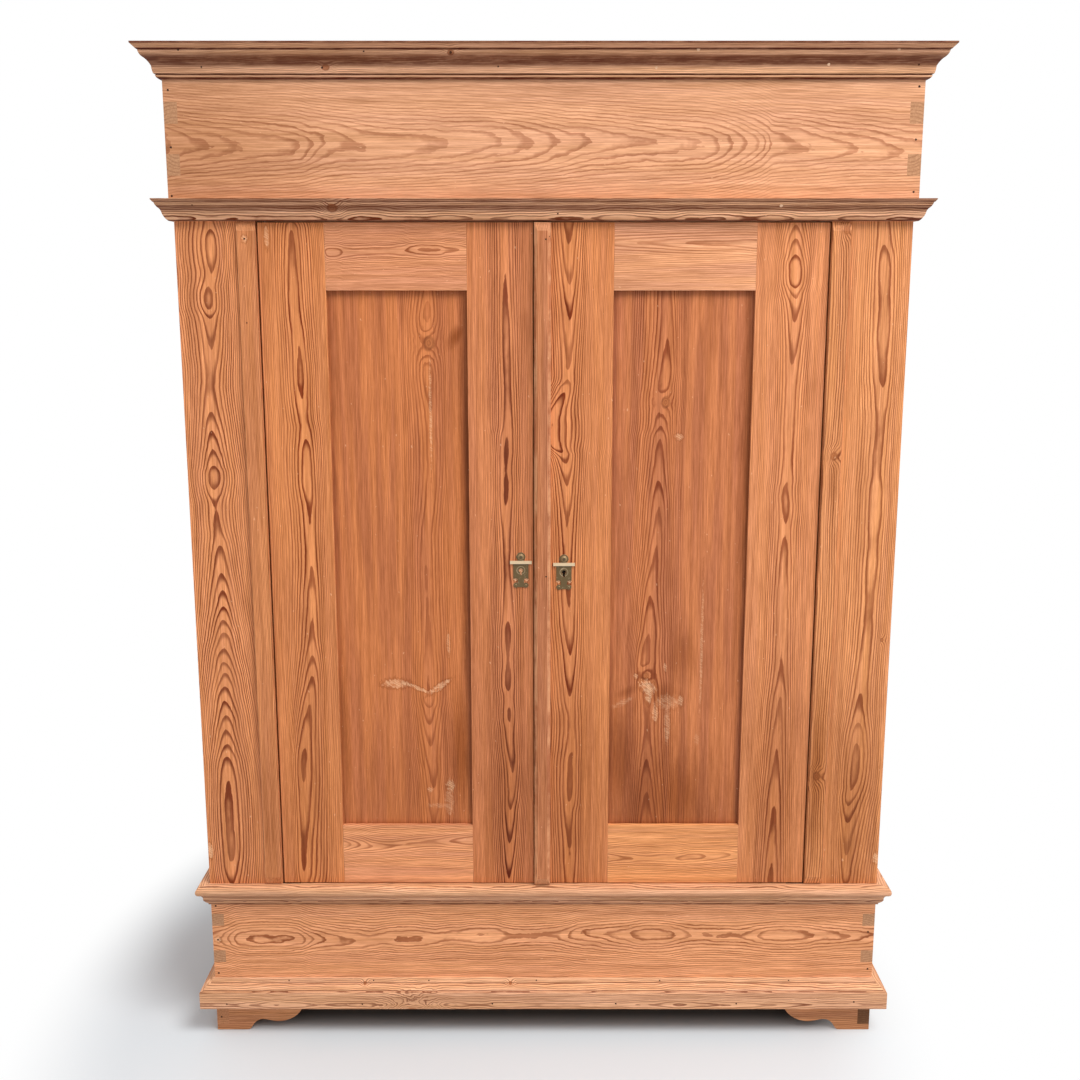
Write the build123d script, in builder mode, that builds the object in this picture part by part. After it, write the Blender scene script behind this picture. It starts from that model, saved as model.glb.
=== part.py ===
from build123d import *
import os

os.makedirs("parts", exist_ok=True)

# A knock-down pine wardrobe: a dovetailed base box on bracket feet, two framed sides,
# two panelled doors and a dovetailed cornice box. The front faces -Y, +Z is up, and the
# origin is on the floor under the middle of the whole piece.

# Main sizes
body_w = 1322.0
carcass_depth = 520.0
foot_h = 61.0
base_board_h = 258.0
carcass_h = 1275.0
cornice_board_h = 296.0

# Timber thicknesses
box_board_t = 24.0
frame_t = 24.0
panel_t = 8.0
back_board_t = 14.0
floor_board_t = 20.0
ceiling_board_t = 18.0
shelf_t = 18.0

# How far the cornice box stands out from the body
cornice_front_lap = 8.0
cornice_side_lap = 5.5

# Crown moulding
crown_h = 56.5
crown_reach = 41.5
crown_lip_h = 2.5
crown_fillet_h = 11.0
crown_fillet_foot = 33.0
crown_ovolo_reach = 31.0
crown_ovolo_drop = 13.3
crown_cove_reach = 22.4
crown_cove_drop = 11.7
crown_swell_reach = 13.6
crown_swell_foot = 11.3
crown_bead_h = 6.5
crown_bead_reach = 9.0
crown_bead_foot = 3.5
crown_quirk_h = 2.0
crown_quirk_reach = 7.5
crown_ovolo_bulge = 2.2
crown_cove_dip = 0.8
crown_swell_bulge = 0.5
crown_bead_bulge = 1.2

# Waist moulding at the foot of the cornice box
waist_h = 37.5
waist_reach = 25.7
waist_lip_h = 1.5
waist_fillet_h = 6.0
waist_fillet_foot = 22.2
waist_ovolo_reach = 21.0
waist_ovolo_drop = 10.7
waist_cove_reach = 13.8
waist_cove_drop = 6.3
waist_swell_reach = 10.8
waist_foot_reach = 1.5
waist_ovolo_bulge = 1.2
waist_cove_dip = 0.4
waist_swell_bulge = 1.5

# Moulding round the top of the base box
ledge_h = 42.5
ledge_reach = 24.0
ledge_top_reach = 17.0
ledge_nose_h = 17.5
ledge_nose_foot = 20.0
ledge_quirk_h = 1.0
ledge_quirk_reach = 17.0
ledge_cove_h = 7.5
ledge_cove_dip = 0.8
ledge_bead_reach = 12.0
ledge_bead_h = 4.5
ledge_foot_reach = 4.0
ledge_foot_h = 2.5
ledge_foot_bulge = 0.6

# Plinth moulding round the foot of the base box
plinth_h = 56.0
plinth_reach = 26.0
plinth_fascia_h = 34.5
plinth_ease = 1.5
plinth_shelf = 4.0
plinth_cap_rise = 10.0
plinth_cap_reach = 8.5
plinth_cap_bulge = 1.8
plinth_step = 1.2
plinth_top_reach = 3.5

# Dovetails: heights are from the bottom edge of each box
base_tail_heights = (101.0, 180.0)
base_tail_end = 26.0
base_tail_neck = 20.0
cornice_tail_heights = (96.0, 184.0)
cornice_tail_end = 37.0
cornice_tail_neck = 29.0

# Bracket feet
foot_len = 181.0
foot_pad_len = 60.0
foot_rise_len = 26.0
foot_flat_len = 62.0
foot_step_h = 22.0
foot_wave_dip = 3.2
foot_turn_h = 1.6
foot_end_len = 15.5
foot_end_h = 25.0
foot_lap_h = 12.0
foot_block_w = 40.0
foot_block_lift = 3.0

# Floor, ceiling and back boards
floor_board_count = 4
ceiling_board_count = 4
back_board_count = 7
plank_gap = 0.6
cleat_w = 22.0
cleat_h = 24.0
back_inset = 8.0
back_groove_depth = 8.0
back_board_play = 1.0
corner_block_w = 36.0
corner_block_h = 150.0

# Frame and panel work, the same for doors and sides
panel_recess = 10.0
groove_depth = 10.0
groove_play = 0.2
panel_entry = 8.5
tenon_len = 60.0
tenon_shoulder = 22.0
mortise_play = 0.3

# Side frames
side_stile_w = 95.0
side_rail_h = 120.0

# Front of the carcass
door_opening_half = 516.0
outer_batten_w = 34.0
outer_batten_t = 7.5
centre_batten_w = 31.0
centre_batten_t = 15.0
batten_side_bevel = 5.7
batten_end_bevel = 15.0
outer_batten_ease = 1.5
outer_batten_bevel_t = 5.0

# Doors
door_side_gap = 3.0
door_end_gap = 2.0
meeting_x = -17.6
meeting_gap = 1.6
door_top_rail_h = 119.5
door_bottom_rail_h = 121.0
left_stile_w = 119.5
right_lock_stile_w = 144.5
right_hinge_stile_w = 130.0

# Iron pivots at the top and bottom of each door
pivot_edge = 12.0
pivot_depth = 8.0
pivot_r = 3.5
pivot_len = 12.0
pivot_play = 0.05
pivot_plate_len = 60.0
pivot_plate_w = 12.0
pivot_plate_t = 3.0
pivot_plate_inset = 2.0
shoulder_r = 5.5
socket_len = 40.0
socket_w = 16.0
socket_t = 3.0
socket_wood_play = 1.0

# Lock: a case let into the back of the right door, with a sliding bolt
lock_backset = 56.1
lock_case_w = 82.0
lock_case_h = 70.0
lock_case_t = 11.0
lock_case_drop = 42.0
lock_wall = 1.5
lock_bolt_len = 62.0
lock_bolt_h = 16.0
lock_bolt_t = 6.0
lock_bolt_lift = 8.0
lock_bolt_play = 0.3
lock_bolt_travel = 9.0
talon_w = 7.0
talon_h = 4.0
strike_t = 1.5
strike_w = 12.5
strike_h = 60.0
strike_hole_play = 1.0
strike_end_play = 3.5

# Keyholes
keyhole_r = 3.9
keyhole_slot_w = 3.8
keyhole_drop = 9.5
case_keyhole_play = 0.4

# Escutcheons, measured down and up from the top of the cap bar
left_escutcheon_x = -42.6
left_escutcheon_h = 652.5
right_escutcheon_h = 648.6
escutcheon_t = 1.6
cap_bar_w = 41.0
cap_bar_h = 6.0
cap_bar_t = 3.4
lobe_r = 8.6
lobe_rise = 7.4
escutcheon_body_w = 28.6
escutcheon_body_h = 28.5
escutcheon_waist_w = 12.0
escutcheon_waist_h = 18.0
scroll_notch_r = 3.4
scroll_notch_x = 10.2
scroll_notch_drop = 6.0
scroll_r = 4.9
scroll_x = 9.4
scroll_drop = 17.5
plate_keyhole_drop = 18.3

# Tacks that hold the escutcheons
dome_r = 6.4
dome_h = 3.6
tack_r = 2.3
tack_h = 1.1
tack_shank_r = 0.9
tack_shank_len = 9.0
tack_play = 0.1
# A point on a tack head's curve between its top and its rim, across and up
dome_mid_shares = (0.62, 0.76)

# Slide bolts on the back of the left door
slide_bolt_edge = 35.0
slide_bolt_w = 8.0
slide_bolt_len = 120.0
slide_bolt_play = 0.3
slide_bolt_travel = 14.0
slide_hole_play = 1.0
slide_hole_end_play = 3.0
guide_plate_w = 30.0
guide_plate_h = 100.0
guide_plate_t = 2.0
guide_plate_end = 8.0
guide_w = 20.0
guide_h = 12.0
guide_t = 2.5
knob_r = 4.0
knob_len = 10.0
knob_from_tip = 76.0

# Inside
door_stop_t = 12.0
door_stop_h = 15.0
door_stop_gap = 0.5
door_stop_edge = 40.0
door_stop_bolt_room = 75.0
shelf_drop = 240.0
shelf_setback = 90.0
shelf_play = 0.5
shelf_cleat_t = 20.0
shelf_cleat_h = 90.0
rail_r = 14.0
rail_drop = 50.0
rail_socket_depth = 14.0
rail_play = 0.2

# Loose pegs that locate the sides on the base and the cornice on the sides
peg_r = 6.0
peg_tenon_gap = 2.0
peg_play = 0.15
peg_inset = 8.5
peg_end_play = 0.5

# Levels and planes worked out from the sizes above
body_half = body_w / 2
overall_depth = carcass_depth + cornice_front_lap + crown_reach
back_y = overall_depth / 2
front_y = back_y - carcass_depth
inside_front_y = front_y + frame_t
inside_half = body_half - frame_t
base_z = foot_h
base_top_z = base_z + base_board_h
carcass_top_z = base_top_z + carcass_h
top_z = carcass_top_z + cornice_board_h
cornice_half = body_half + cornice_side_lap
cornice_front_y = front_y - cornice_front_lap
door_z = base_top_z + door_end_gap
door_h = carcass_h - 2 * door_end_gap
door_edge_x = door_opening_half - door_side_gap
left_door_w = door_edge_x + meeting_x - meeting_gap
right_door_w = door_edge_x - meeting_x
pivot_x = door_edge_x - pivot_edge
pivot_y = front_y + pivot_depth
panel_y = (panel_recess, panel_recess + panel_t)
groove_y = (panel_recess, panel_recess + panel_t + groove_play)
keyhole_h = right_escutcheon_h - plate_keyhole_drop
right_escutcheon_x = meeting_x + lock_backset
strike_mortise_depth = lock_bolt_travel - meeting_gap + strike_end_play
slide_hole_depth = slide_bolt_travel - door_end_gap + slide_hole_end_play
slide_bolt_x = meeting_x - meeting_gap - slide_bolt_edge
slide_bolt_y = frame_t + guide_plate_t + slide_bolt_play + slide_bolt_w / 2
peg_len = 2 * (tenon_shoulder - peg_tenon_gap)


def middle(span):
    """The middle of a pair of planes."""
    return (span[0] + span[1]) / 2


def ordered(a, b):
    """Two planes as a pair, the lower one first."""
    return (min(a, b), max(a, b))


def around(centre, width):
    """The two planes that are a width apart with their middle at a centre."""
    return (centre - width / 2, centre + width / 2)


def block(x, y, z, mode=Mode.ADD):
    """Add or cut the space between three pairs of planes."""
    with Locations((middle(x), middle(y), middle(z))):
        Box(x[1] - x[0], y[1] - y[0], z[1] - z[0], mode=mode)


def rod(x, y, z, radius, mode=Mode.ADD):
    """Add or cut an upright round bar between two heights."""
    with Locations((x, y, middle(z))):
        Cylinder(radius, z[1] - z[0], mode=mode)


def save(piece, name):
    """Label a finished piece and write it to its own file."""
    piece.part.label = name
    export_step(piece.part, f"parts/{name}.step")


# Outlines of the mouldings: x is the reach from the board, y the height
with BuildLine() as crown_outline:
    crown_ovolo_top = crown_h - crown_fillet_h
    crown_cove_top = crown_ovolo_top - crown_ovolo_drop
    crown_swell_top = crown_cove_top - crown_cove_drop
    crown_swell_base = crown_bead_h + crown_quirk_h
    Line((0, 0), (crown_bead_foot, 0))
    SagittaArc((crown_bead_foot, 0), (crown_bead_reach, crown_bead_h), -crown_bead_bulge)
    Polyline(
        (crown_bead_reach, crown_bead_h),
        (crown_quirk_reach, crown_bead_h),
        (crown_quirk_reach, crown_swell_base),
        (crown_swell_foot, crown_swell_base),
    )
    SagittaArc(
        (crown_swell_foot, crown_swell_base), (crown_swell_reach, crown_swell_top), -crown_swell_bulge
    )
    SagittaArc((crown_swell_reach, crown_swell_top), (crown_cove_reach, crown_cove_top), crown_cove_dip)
    SagittaArc(
        (crown_cove_reach, crown_cove_top), (crown_ovolo_reach, crown_ovolo_top), -crown_ovolo_bulge
    )
    Polyline(
        (crown_ovolo_reach, crown_ovolo_top),
        (crown_fillet_foot, crown_ovolo_top),
        (crown_reach, crown_h - crown_lip_h),
        (crown_reach, crown_h),
        (0, crown_h),
        (0, 0),
    )

with BuildLine() as waist_outline:
    waist_ovolo_top = waist_h - waist_fillet_h
    waist_cove_top = waist_ovolo_top - waist_ovolo_drop
    waist_swell_top = waist_cove_top - waist_cove_drop
    Line((0, 0), (waist_foot_reach, 0))
    SagittaArc((waist_foot_reach, 0), (waist_swell_reach, waist_swell_top), -waist_swell_bulge)
    SagittaArc((waist_swell_reach, waist_swell_top), (waist_cove_reach, waist_cove_top), waist_cove_dip)
    SagittaArc(
        (waist_cove_reach, waist_cove_top), (waist_ovolo_reach, waist_ovolo_top), -waist_ovolo_bulge
    )
    Polyline(
        (waist_ovolo_reach, waist_ovolo_top),
        (waist_fillet_foot, waist_ovolo_top),
        (waist_reach, waist_h - waist_lip_h),
        (waist_reach, waist_h),
        (0, waist_h),
        (0, 0),
    )

with BuildLine() as ledge_outline:
    ledge_nose_z = ledge_h - ledge_nose_h
    ledge_cove_top = ledge_nose_z - ledge_quirk_h
    ledge_bead_top = ledge_cove_top - ledge_cove_h
    ledge_bead_z = ledge_bead_top - ledge_bead_h
    Polyline((0, 0), (ledge_foot_reach, 0), (ledge_foot_reach, ledge_foot_h))
    SagittaArc((ledge_foot_reach, ledge_foot_h), (ledge_bead_reach, ledge_bead_z), -ledge_foot_bulge)
    Line((ledge_bead_reach, ledge_bead_z), (ledge_bead_reach, ledge_bead_top))
    SagittaArc((ledge_bead_reach, ledge_bead_top), (ledge_quirk_reach, ledge_cove_top), ledge_cove_dip)
    Line((ledge_quirk_reach, ledge_cove_top), (ledge_nose_foot, ledge_nose_z))
    ThreePointArc(
        (ledge_nose_foot, ledge_nose_z),
        (ledge_reach, ledge_h - ledge_nose_h / 2),
        (ledge_top_reach, ledge_h),
    )
    Polyline((ledge_top_reach, ledge_h), (0, ledge_h), (0, 0))

with BuildLine() as plinth_outline:
    plinth_fascia_top = plinth_fascia_h + plinth_ease
    plinth_cap_foot = plinth_reach - plinth_ease - plinth_shelf
    plinth_cap_top = plinth_fascia_top + plinth_cap_rise
    Polyline(
        (0, 0),
        (plinth_reach, 0),
        (plinth_reach, plinth_fascia_h),
        (plinth_reach - plinth_ease, plinth_fascia_top),
        (plinth_cap_foot, plinth_fascia_top),
    )
    SagittaArc((plinth_cap_foot, plinth_fascia_top), (plinth_cap_reach, plinth_cap_top), -plinth_cap_bulge)
    Polyline(
        (plinth_cap_reach, plinth_cap_top),
        (plinth_cap_reach - plinth_step, plinth_cap_top),
        (plinth_top_reach, plinth_h),
        (0, plinth_h),
        (0, 0),
    )


def front_moulding(outline, half_w, face_y, z, reach):
    """The front length of a moulding, mitred at both ends."""
    with BuildPart() as run:
        start = Plane(origin=(half_w + reach, face_y, z), x_dir=(0, -1, 0), z_dir=(-1, 0, 0))
        with BuildSketch(start):
            add(outline.line)
            make_face()
        extrude(amount=2 * (half_w + reach))
        for side in (-1, 1):
            mitre = Plane(origin=(side * half_w, face_y, z), z_dir=(side, 1, 0))
            split(bisect_by=mitre, keep=Keep.BOTTOM)
    return run


def side_mouldings(outline, half_w, face_y, z, reach):
    """The two side returns of a moulding, mitred at the front and square at the back."""
    with BuildPart() as runs:
        with BuildSketch(Plane(origin=(half_w, back_y, z), x_dir=(1, 0, 0), z_dir=(0, -1, 0))):
            add(outline.line)
            make_face()
        extrude(amount=back_y - face_y + reach)
        split(bisect_by=Plane(origin=(half_w, face_y, z), z_dir=(1, 1, 0)), keep=Keep.TOP)
        mirror(about=Plane.YZ)
    return runs


def tails(x, end_y, inward, bottom_z, heights, end_h, neck_h, mode):
    """Dovetails at one end of a side board: wide at the end plane, narrow at the neck."""
    neck_y = end_y + inward * box_board_t
    for height in heights:
        mid_z = bottom_z + height
        with BuildSketch(Plane.YZ.offset(x[0])) as outline:
            with BuildLine():
                Polyline(
                    (end_y, mid_z - end_h / 2),
                    (end_y, mid_z + end_h / 2),
                    (neck_y, mid_z + neck_h / 2),
                    (neck_y, mid_z - neck_h / 2),
                    close=True,
                )
            make_face()
        extrude(outline.sketch, amount=x[1] - x[0], dir=(1, 0, 0), mode=mode)


def box_end_board(half_w, y, bottom_z, height, tail_sizes):
    """A front or back board of a box, with sockets for the tails of the side boards."""
    inward = 1 if y[0] < 0 else -1
    end_y = y[0] if inward > 0 else y[1]
    block((-half_w, half_w), y, (bottom_z, bottom_z + height))
    for side in (-1, 1):
        x = ordered(side * half_w, side * (half_w - box_board_t))
        tails(x, end_y, inward, bottom_z, *tail_sizes, Mode.SUBTRACT)


def box_side_boards(half_w, y, bottom_z, height, tail_sizes):
    """The two side boards of a box, with tails that run through the front and back boards."""
    for side in (-1, 1):
        x = ordered(side * half_w, side * (half_w - box_board_t))
        block(x, (y[0] + box_board_t, y[1] - box_board_t), (bottom_z, bottom_z + height))
        tails(x, y[0], 1, bottom_z, *tail_sizes, Mode.ADD)
        tails(x, y[1], -1, bottom_z, *tail_sizes, Mode.ADD)


def planks(x, y, z, count):
    """A row of boards that lie side by side from front to back."""
    pitch = (y[1] - y[0] + plank_gap) / count
    for index in range(count):
        low = y[0] + index * pitch
        block(x, (low, low + pitch - plank_gap), z)


def peg_holes(z):
    """Round holes for the locating pegs, from a joint plane to the end of each hole."""
    for x in (-peg_x, peg_x):
        for y in peg_places:
            rod(x, y, z, peg_r + peg_play, Mode.SUBTRACT)


# Sockets and pin holes for the door pivots, in the base and cornice front boards
pivot_places = (-pivot_x, pivot_x)
socket_y = around(pivot_y, socket_w)
low_socket_z = (base_top_z - socket_t, base_top_z)
high_socket_z = (carcass_top_z, carcass_top_z + socket_t)
pin_hole_depth = pivot_len + socket_wood_play
pin_hole_r = pivot_r + socket_wood_play

# Pegs stand over the middle of each side stile
peg_x = body_half - peg_inset
peg_places = (inside_front_y + side_stile_w / 2, back_y - side_stile_w / 2)
peg_hole_depth = peg_len / 2 + peg_end_play
base_tails = (base_tail_heights, base_tail_end, base_tail_neck)
cornice_tails = (cornice_tail_heights, cornice_tail_end, cornice_tail_neck)

# Base box
with BuildPart() as base_front_board:
    box_end_board(body_half, (front_y, front_y + box_board_t), base_z, base_board_h, base_tails)
    for x in pivot_places:
        block(around(x, socket_len), socket_y, low_socket_z, Mode.SUBTRACT)
        rod(x, pivot_y, (base_top_z - pin_hole_depth, base_top_z), pin_hole_r, Mode.SUBTRACT)
save(base_front_board, "base_front_board")

with BuildPart() as base_back_board:
    box_end_board(body_half, (back_y - box_board_t, back_y), base_z, base_board_h, base_tails)
save(base_back_board, "base_back_board")

with BuildPart() as base_side_boards:
    box_side_boards(body_half, (front_y, back_y), base_z, base_board_h, base_tails)
    peg_holes((base_top_z - peg_hole_depth, base_top_z))
save(base_side_boards, "base_side_boards")

floor_x = (-(body_half - box_board_t), body_half - box_board_t)
floor_y = (front_y + box_board_t, back_y - box_board_t)
floor_z = (base_top_z - floor_board_t, base_top_z)
slide_hole_w = slide_bolt_w + 2 * slide_hole_play
slide_hole_x = around(slide_bolt_x, slide_hole_w)
slide_hole_y = around(front_y + slide_bolt_y, slide_hole_w)

with BuildPart() as floor_boards:
    planks(floor_x, floor_y, floor_z, floor_board_count)
    block(slide_hole_x, slide_hole_y, (base_top_z - slide_hole_depth, base_top_z), Mode.SUBTRACT)
save(floor_boards, "floor_boards")

ledge_z = base_top_z - ledge_h
save(front_moulding(ledge_outline, body_half, front_y, ledge_z, ledge_reach), "base_moulding_front")
save(side_mouldings(ledge_outline, body_half, front_y, ledge_z, ledge_reach), "base_moulding_sides")
save(front_moulding(plinth_outline, body_half, front_y, base_z, plinth_reach), "plinth_front")
save(side_mouldings(plinth_outline, body_half, front_y, base_z, plinth_reach), "plinth_sides")

# Bracket feet: the outline starts at the outer corner on the floor
with BuildLine() as foot_outline:
    foot_rise_end = foot_pad_len + foot_rise_len
    foot_flat_end = foot_rise_end + foot_flat_len
    Line((0, 0), (foot_pad_len, 0))
    Spline(
        (foot_pad_len, 0),
        (foot_pad_len + foot_rise_len / 2, foot_step_h / 2),
        (foot_rise_end, foot_step_h),
        (foot_rise_end + foot_flat_len / 2, foot_step_h - foot_wave_dip),
        (foot_flat_end, foot_step_h + foot_turn_h),
        (foot_len - foot_end_len, foot_h - foot_end_h),
        (foot_len, foot_h),
        tangents=((1, 0), (foot_end_len, foot_end_h)),
    )
    Polyline((foot_len, foot_h), (0, foot_h), (0, 0))

with BuildPart() as front_feet:
    corner = Plane(origin=(-body_half, inside_front_y, 0), x_dir=(1, 0, 0), z_dir=(0, -1, 0))
    with BuildSketch(corner):
        add(foot_outline.line)
        make_face()
    extrude(amount=frame_t)
    block(
        (-body_half, -body_half + frame_t), (front_y, inside_front_y), (foot_lap_h, foot_h), Mode.SUBTRACT
    )
    mirror(about=Plane.YZ)
save(front_feet, "front_feet")

with BuildPart() as side_feet:
    front_corner = Plane(origin=(-body_half, front_y, 0), x_dir=(0, 1, 0), z_dir=(1, 0, 0))
    with BuildSketch(front_corner):
        add(foot_outline.line)
        make_face()
    extrude(amount=frame_t)
    block(
        (-body_half, -body_half + frame_t), (front_y, inside_front_y), (0, foot_lap_h), Mode.SUBTRACT
    )
    back_corner = Plane(origin=(-body_half + frame_t, back_y, 0), x_dir=(0, -1, 0), z_dir=(-1, 0, 0))
    with BuildSketch(back_corner):
        add(foot_outline.line)
        make_face()
    extrude(amount=frame_t)
    mirror(about=Plane.YZ)
save(side_feet, "side_feet")

with BuildPart() as corner_blocks:
    block_x = (-body_half + frame_t, -body_half + frame_t + foot_block_w)
    block(block_x, (inside_front_y, inside_front_y + foot_block_w), (foot_block_lift, foot_h))
    block(block_x, (back_y - foot_block_w, back_y), (foot_block_lift, foot_h))
    corner_x = -cornice_half + box_board_t
    corner_top_z = top_z - crown_h / 2
    for y in (cornice_front_y + box_board_t, back_y - box_board_t - corner_block_w):
        block(
            (corner_x, corner_x + corner_block_w),
            (y, y + corner_block_w),
            (corner_top_z - corner_block_h, corner_top_z),
        )
    mirror(about=Plane.YZ)
save(corner_blocks, "corner_blocks")


# Frame and panel pieces: in a frame's own plane x runs across it, y into its thickness
# from the show face, and z up from its bottom edge
def tenon_spans(height, bottom_rail_h, top_rail_h):
    """The heights of the bottom and the top tenon."""
    low = (tenon_shoulder, bottom_rail_h - tenon_shoulder)
    high = (height - top_rail_h + tenon_shoulder, height - tenon_shoulder)
    return low, high


def frame_stile(x, edge, height, bottom_rail_h, top_rail_h):
    """A stile with its panel groove and two mortises on the right (1) or left (-1) edge."""
    block(x, (0, frame_t), (0, height))
    inner = x[1] if edge > 0 else x[0]
    groove_z = (bottom_rail_h - groove_depth, height - top_rail_h + groove_depth)
    block(ordered(inner, inner - edge * groove_depth), groove_y, groove_z, Mode.SUBTRACT)
    mortise_x = ordered(inner, inner - edge * (tenon_len + mortise_play))
    for span in tenon_spans(height, bottom_rail_h, top_rail_h):
        block(mortise_x, groove_y, (span[0] - mortise_play, span[1] + mortise_play), Mode.SUBTRACT)


def frame_rail(x, z, groove_on_top):
    """A rail with a tenon at each end and a panel groove in one edge."""
    block(x, (0, frame_t), z)
    block((x[0] - tenon_len, x[1] + tenon_len), panel_y, (z[0] + tenon_shoulder, z[1] - tenon_shoulder))
    groove_z = (z[1] - groove_depth, z[1]) if groove_on_top else (z[0], z[0] + groove_depth)
    block(x, groove_y, groove_z, Mode.SUBTRACT)


def frame_panel(x, height, bottom_rail_h, top_rail_h):
    """A flat panel that stands in the bottom groove and is loose in the other three."""
    z = (bottom_rail_h - groove_depth, height - top_rail_h + panel_entry)
    block((x[0] - panel_entry, x[1] + panel_entry), panel_y, z)


# Side frames, from the back of the front stiles to the back of the carcass
side_w = carcass_depth - frame_t
side_opening = (side_stile_w, side_w - side_stile_w)
side_planes = {
    "left": Plane(origin=(-body_half, back_y, base_top_z), x_dir=(0, -1, 0), z_dir=(0, 0, 1)),
    "right": Plane(origin=(body_half, inside_front_y, base_top_z), x_dir=(0, 1, 0), z_dir=(0, 0, 1)),
}
for name, plane in side_planes.items():
    with BuildPart(plane) as side_stiles:
        frame_stile((0, side_stile_w), 1, carcass_h, side_rail_h, side_rail_h)
        frame_stile((side_w - side_stile_w, side_w), -1, carcass_h, side_rail_h, side_rail_h)
        groove = (back_inset, back_inset + back_board_t)
        if name == "right":
            groove = (side_w - groove[1], side_w - groove[0])
        block(groove, (frame_t - back_groove_depth, frame_t), (0, carcass_h), Mode.SUBTRACT)
        for x in (side_stile_w / 2, side_w - side_stile_w / 2):
            for z in ((0, peg_hole_depth), (carcass_h - peg_hole_depth, carcass_h)):
                rod(x, peg_inset, z, peg_r + peg_play, Mode.SUBTRACT)
    save(side_stiles, f"{name}_side_stiles")

    with BuildPart(plane) as side_rails:
        frame_rail(side_opening, (0, side_rail_h), True)
        frame_rail(side_opening, (carcass_h - side_rail_h, carcass_h), False)
    save(side_rails, f"{name}_side_rails")

    with BuildPart(plane) as side_panel:
        frame_panel(side_opening, carcass_h, side_rail_h, side_rail_h)
    save(side_panel, f"{name}_side_panel")

with BuildPart() as locating_pegs:
    for x in (-peg_x, peg_x):
        for y in peg_places:
            for z in (base_top_z, carcass_top_z):
                rod(x, y, (z - peg_len / 2, z + peg_len / 2), peg_r)
save(locating_pegs, "locating_pegs")

# Fixed front stiles beside the doors, with a batten on the inner edge of each
for name, side in (("left", -1), ("right", 1)):
    with BuildPart() as front_stile:
        stile_x = ordered(side * door_opening_half, side * body_half)
        block(stile_x, (front_y, inside_front_y), (base_top_z, carcass_top_z))
    save(front_stile, f"{name}_front_stile")

with BuildPart() as outer_battens:
    batten_x = (door_opening_half, door_opening_half + outer_batten_w)
    block(batten_x, (front_y - outer_batten_t, front_y), (door_z, door_z + door_h))
    front_face = outer_battens.faces().sort_by(Axis.Y)[0]
    ends = front_face.edges().filter_by(Axis.X)
    chamfer(ends, length=batten_end_bevel, length2=outer_batten_bevel_t, reference=front_face)
    long_edges = outer_battens.faces().sort_by(Axis.Y)[0].edges().filter_by(Axis.Z)
    chamfer(long_edges, outer_batten_ease)
    mirror(about=Plane.YZ)
save(outer_battens, "outer_battens")

with BuildPart() as back_boards:
    back_half = inside_half + back_groove_depth - back_board_play
    back_pitch = (2 * back_half + plank_gap) / back_board_count
    back_span = (back_y - back_inset - back_board_t, back_y - back_inset)
    for index in range(back_board_count):
        low = -back_half + index * back_pitch
        block((low, low + back_pitch - plank_gap), back_span, (base_top_z, carcass_top_z))
save(back_boards, "back_boards")

# Hat shelf, its cleats, and the hanging rail that rests in the cleats
shelf_top_z = carcass_top_z - shelf_drop
shelf_z = (shelf_top_z - shelf_t, shelf_top_z)
shelf_y = (inside_front_y + shelf_setback, back_span[0] - shelf_play)
rail_y = middle(shelf_y)
rail_z = shelf_z[0] - rail_drop
rail_half = inside_half - shelf_cleat_t + rail_socket_depth

with BuildPart() as hat_shelf:
    block((-inside_half + shelf_play, inside_half - shelf_play), shelf_y, shelf_z)
save(hat_shelf, "hat_shelf")

with BuildPart() as shelf_cleats:
    for side in (-1, 1):
        cleat_x = ordered(side * (inside_half - shelf_cleat_t), side * inside_half)
        block(cleat_x, shelf_y, (shelf_z[0] - shelf_cleat_h, shelf_z[0]))
    with BuildSketch(Plane(origin=(-rail_half, rail_y, rail_z), z_dir=(1, 0, 0))):
        Circle(rail_r + rail_play)
    extrude(amount=2 * rail_half, mode=Mode.SUBTRACT)
save(shelf_cleats, "shelf_cleats")

with BuildPart() as hanging_rail:
    with BuildSketch(Plane(origin=(-rail_half, rail_y, rail_z), z_dir=(1, 0, 0))):
        Circle(rail_r)
    extrude(amount=2 * rail_half)
save(hanging_rail, "hanging_rail")

with BuildPart() as door_stops:
    stop_y = (inside_front_y + door_stop_gap, inside_front_y + door_stop_gap + door_stop_t)
    stop_spans = (
        (-door_edge_x + door_stop_edge, meeting_x - door_stop_bolt_room),
        (meeting_x + door_stop_edge, door_edge_x - door_stop_edge),
    )
    for x in stop_spans:
        block(x, stop_y, (base_top_z, base_top_z + door_stop_h))
        block(x, stop_y, (carcass_top_z - door_stop_h, carcass_top_z))
save(door_stops, "door_stops")

# Cornice box
cornice_y = (cornice_front_y, back_y)
with BuildPart() as cornice_front_board:
    front_span = (cornice_front_y, cornice_front_y + box_board_t)
    box_end_board(cornice_half, front_span, carcass_top_z, cornice_board_h, cornice_tails)
    for x in pivot_places:
        block(around(x, socket_len), socket_y, high_socket_z, Mode.SUBTRACT)
        rod(x, pivot_y, (carcass_top_z, carcass_top_z + pin_hole_depth), pin_hole_r, Mode.SUBTRACT)
save(cornice_front_board, "cornice_front_board")

with BuildPart() as cornice_back_board:
    back_board_span = (back_y - box_board_t, back_y)
    box_end_board(cornice_half, back_board_span, carcass_top_z, cornice_board_h, cornice_tails)
save(cornice_back_board, "cornice_back_board")

with BuildPart() as cornice_side_boards:
    box_side_boards(cornice_half, cornice_y, carcass_top_z, cornice_board_h, cornice_tails)
    peg_holes((carcass_top_z, carcass_top_z + peg_hole_depth))
save(cornice_side_boards, "cornice_side_boards")

ceiling_x = (-(cornice_half - box_board_t), cornice_half - box_board_t)
ceiling_y = (cornice_front_y + box_board_t, back_y - box_board_t)
ceiling_z = (carcass_top_z, carcass_top_z + ceiling_board_t)

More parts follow.
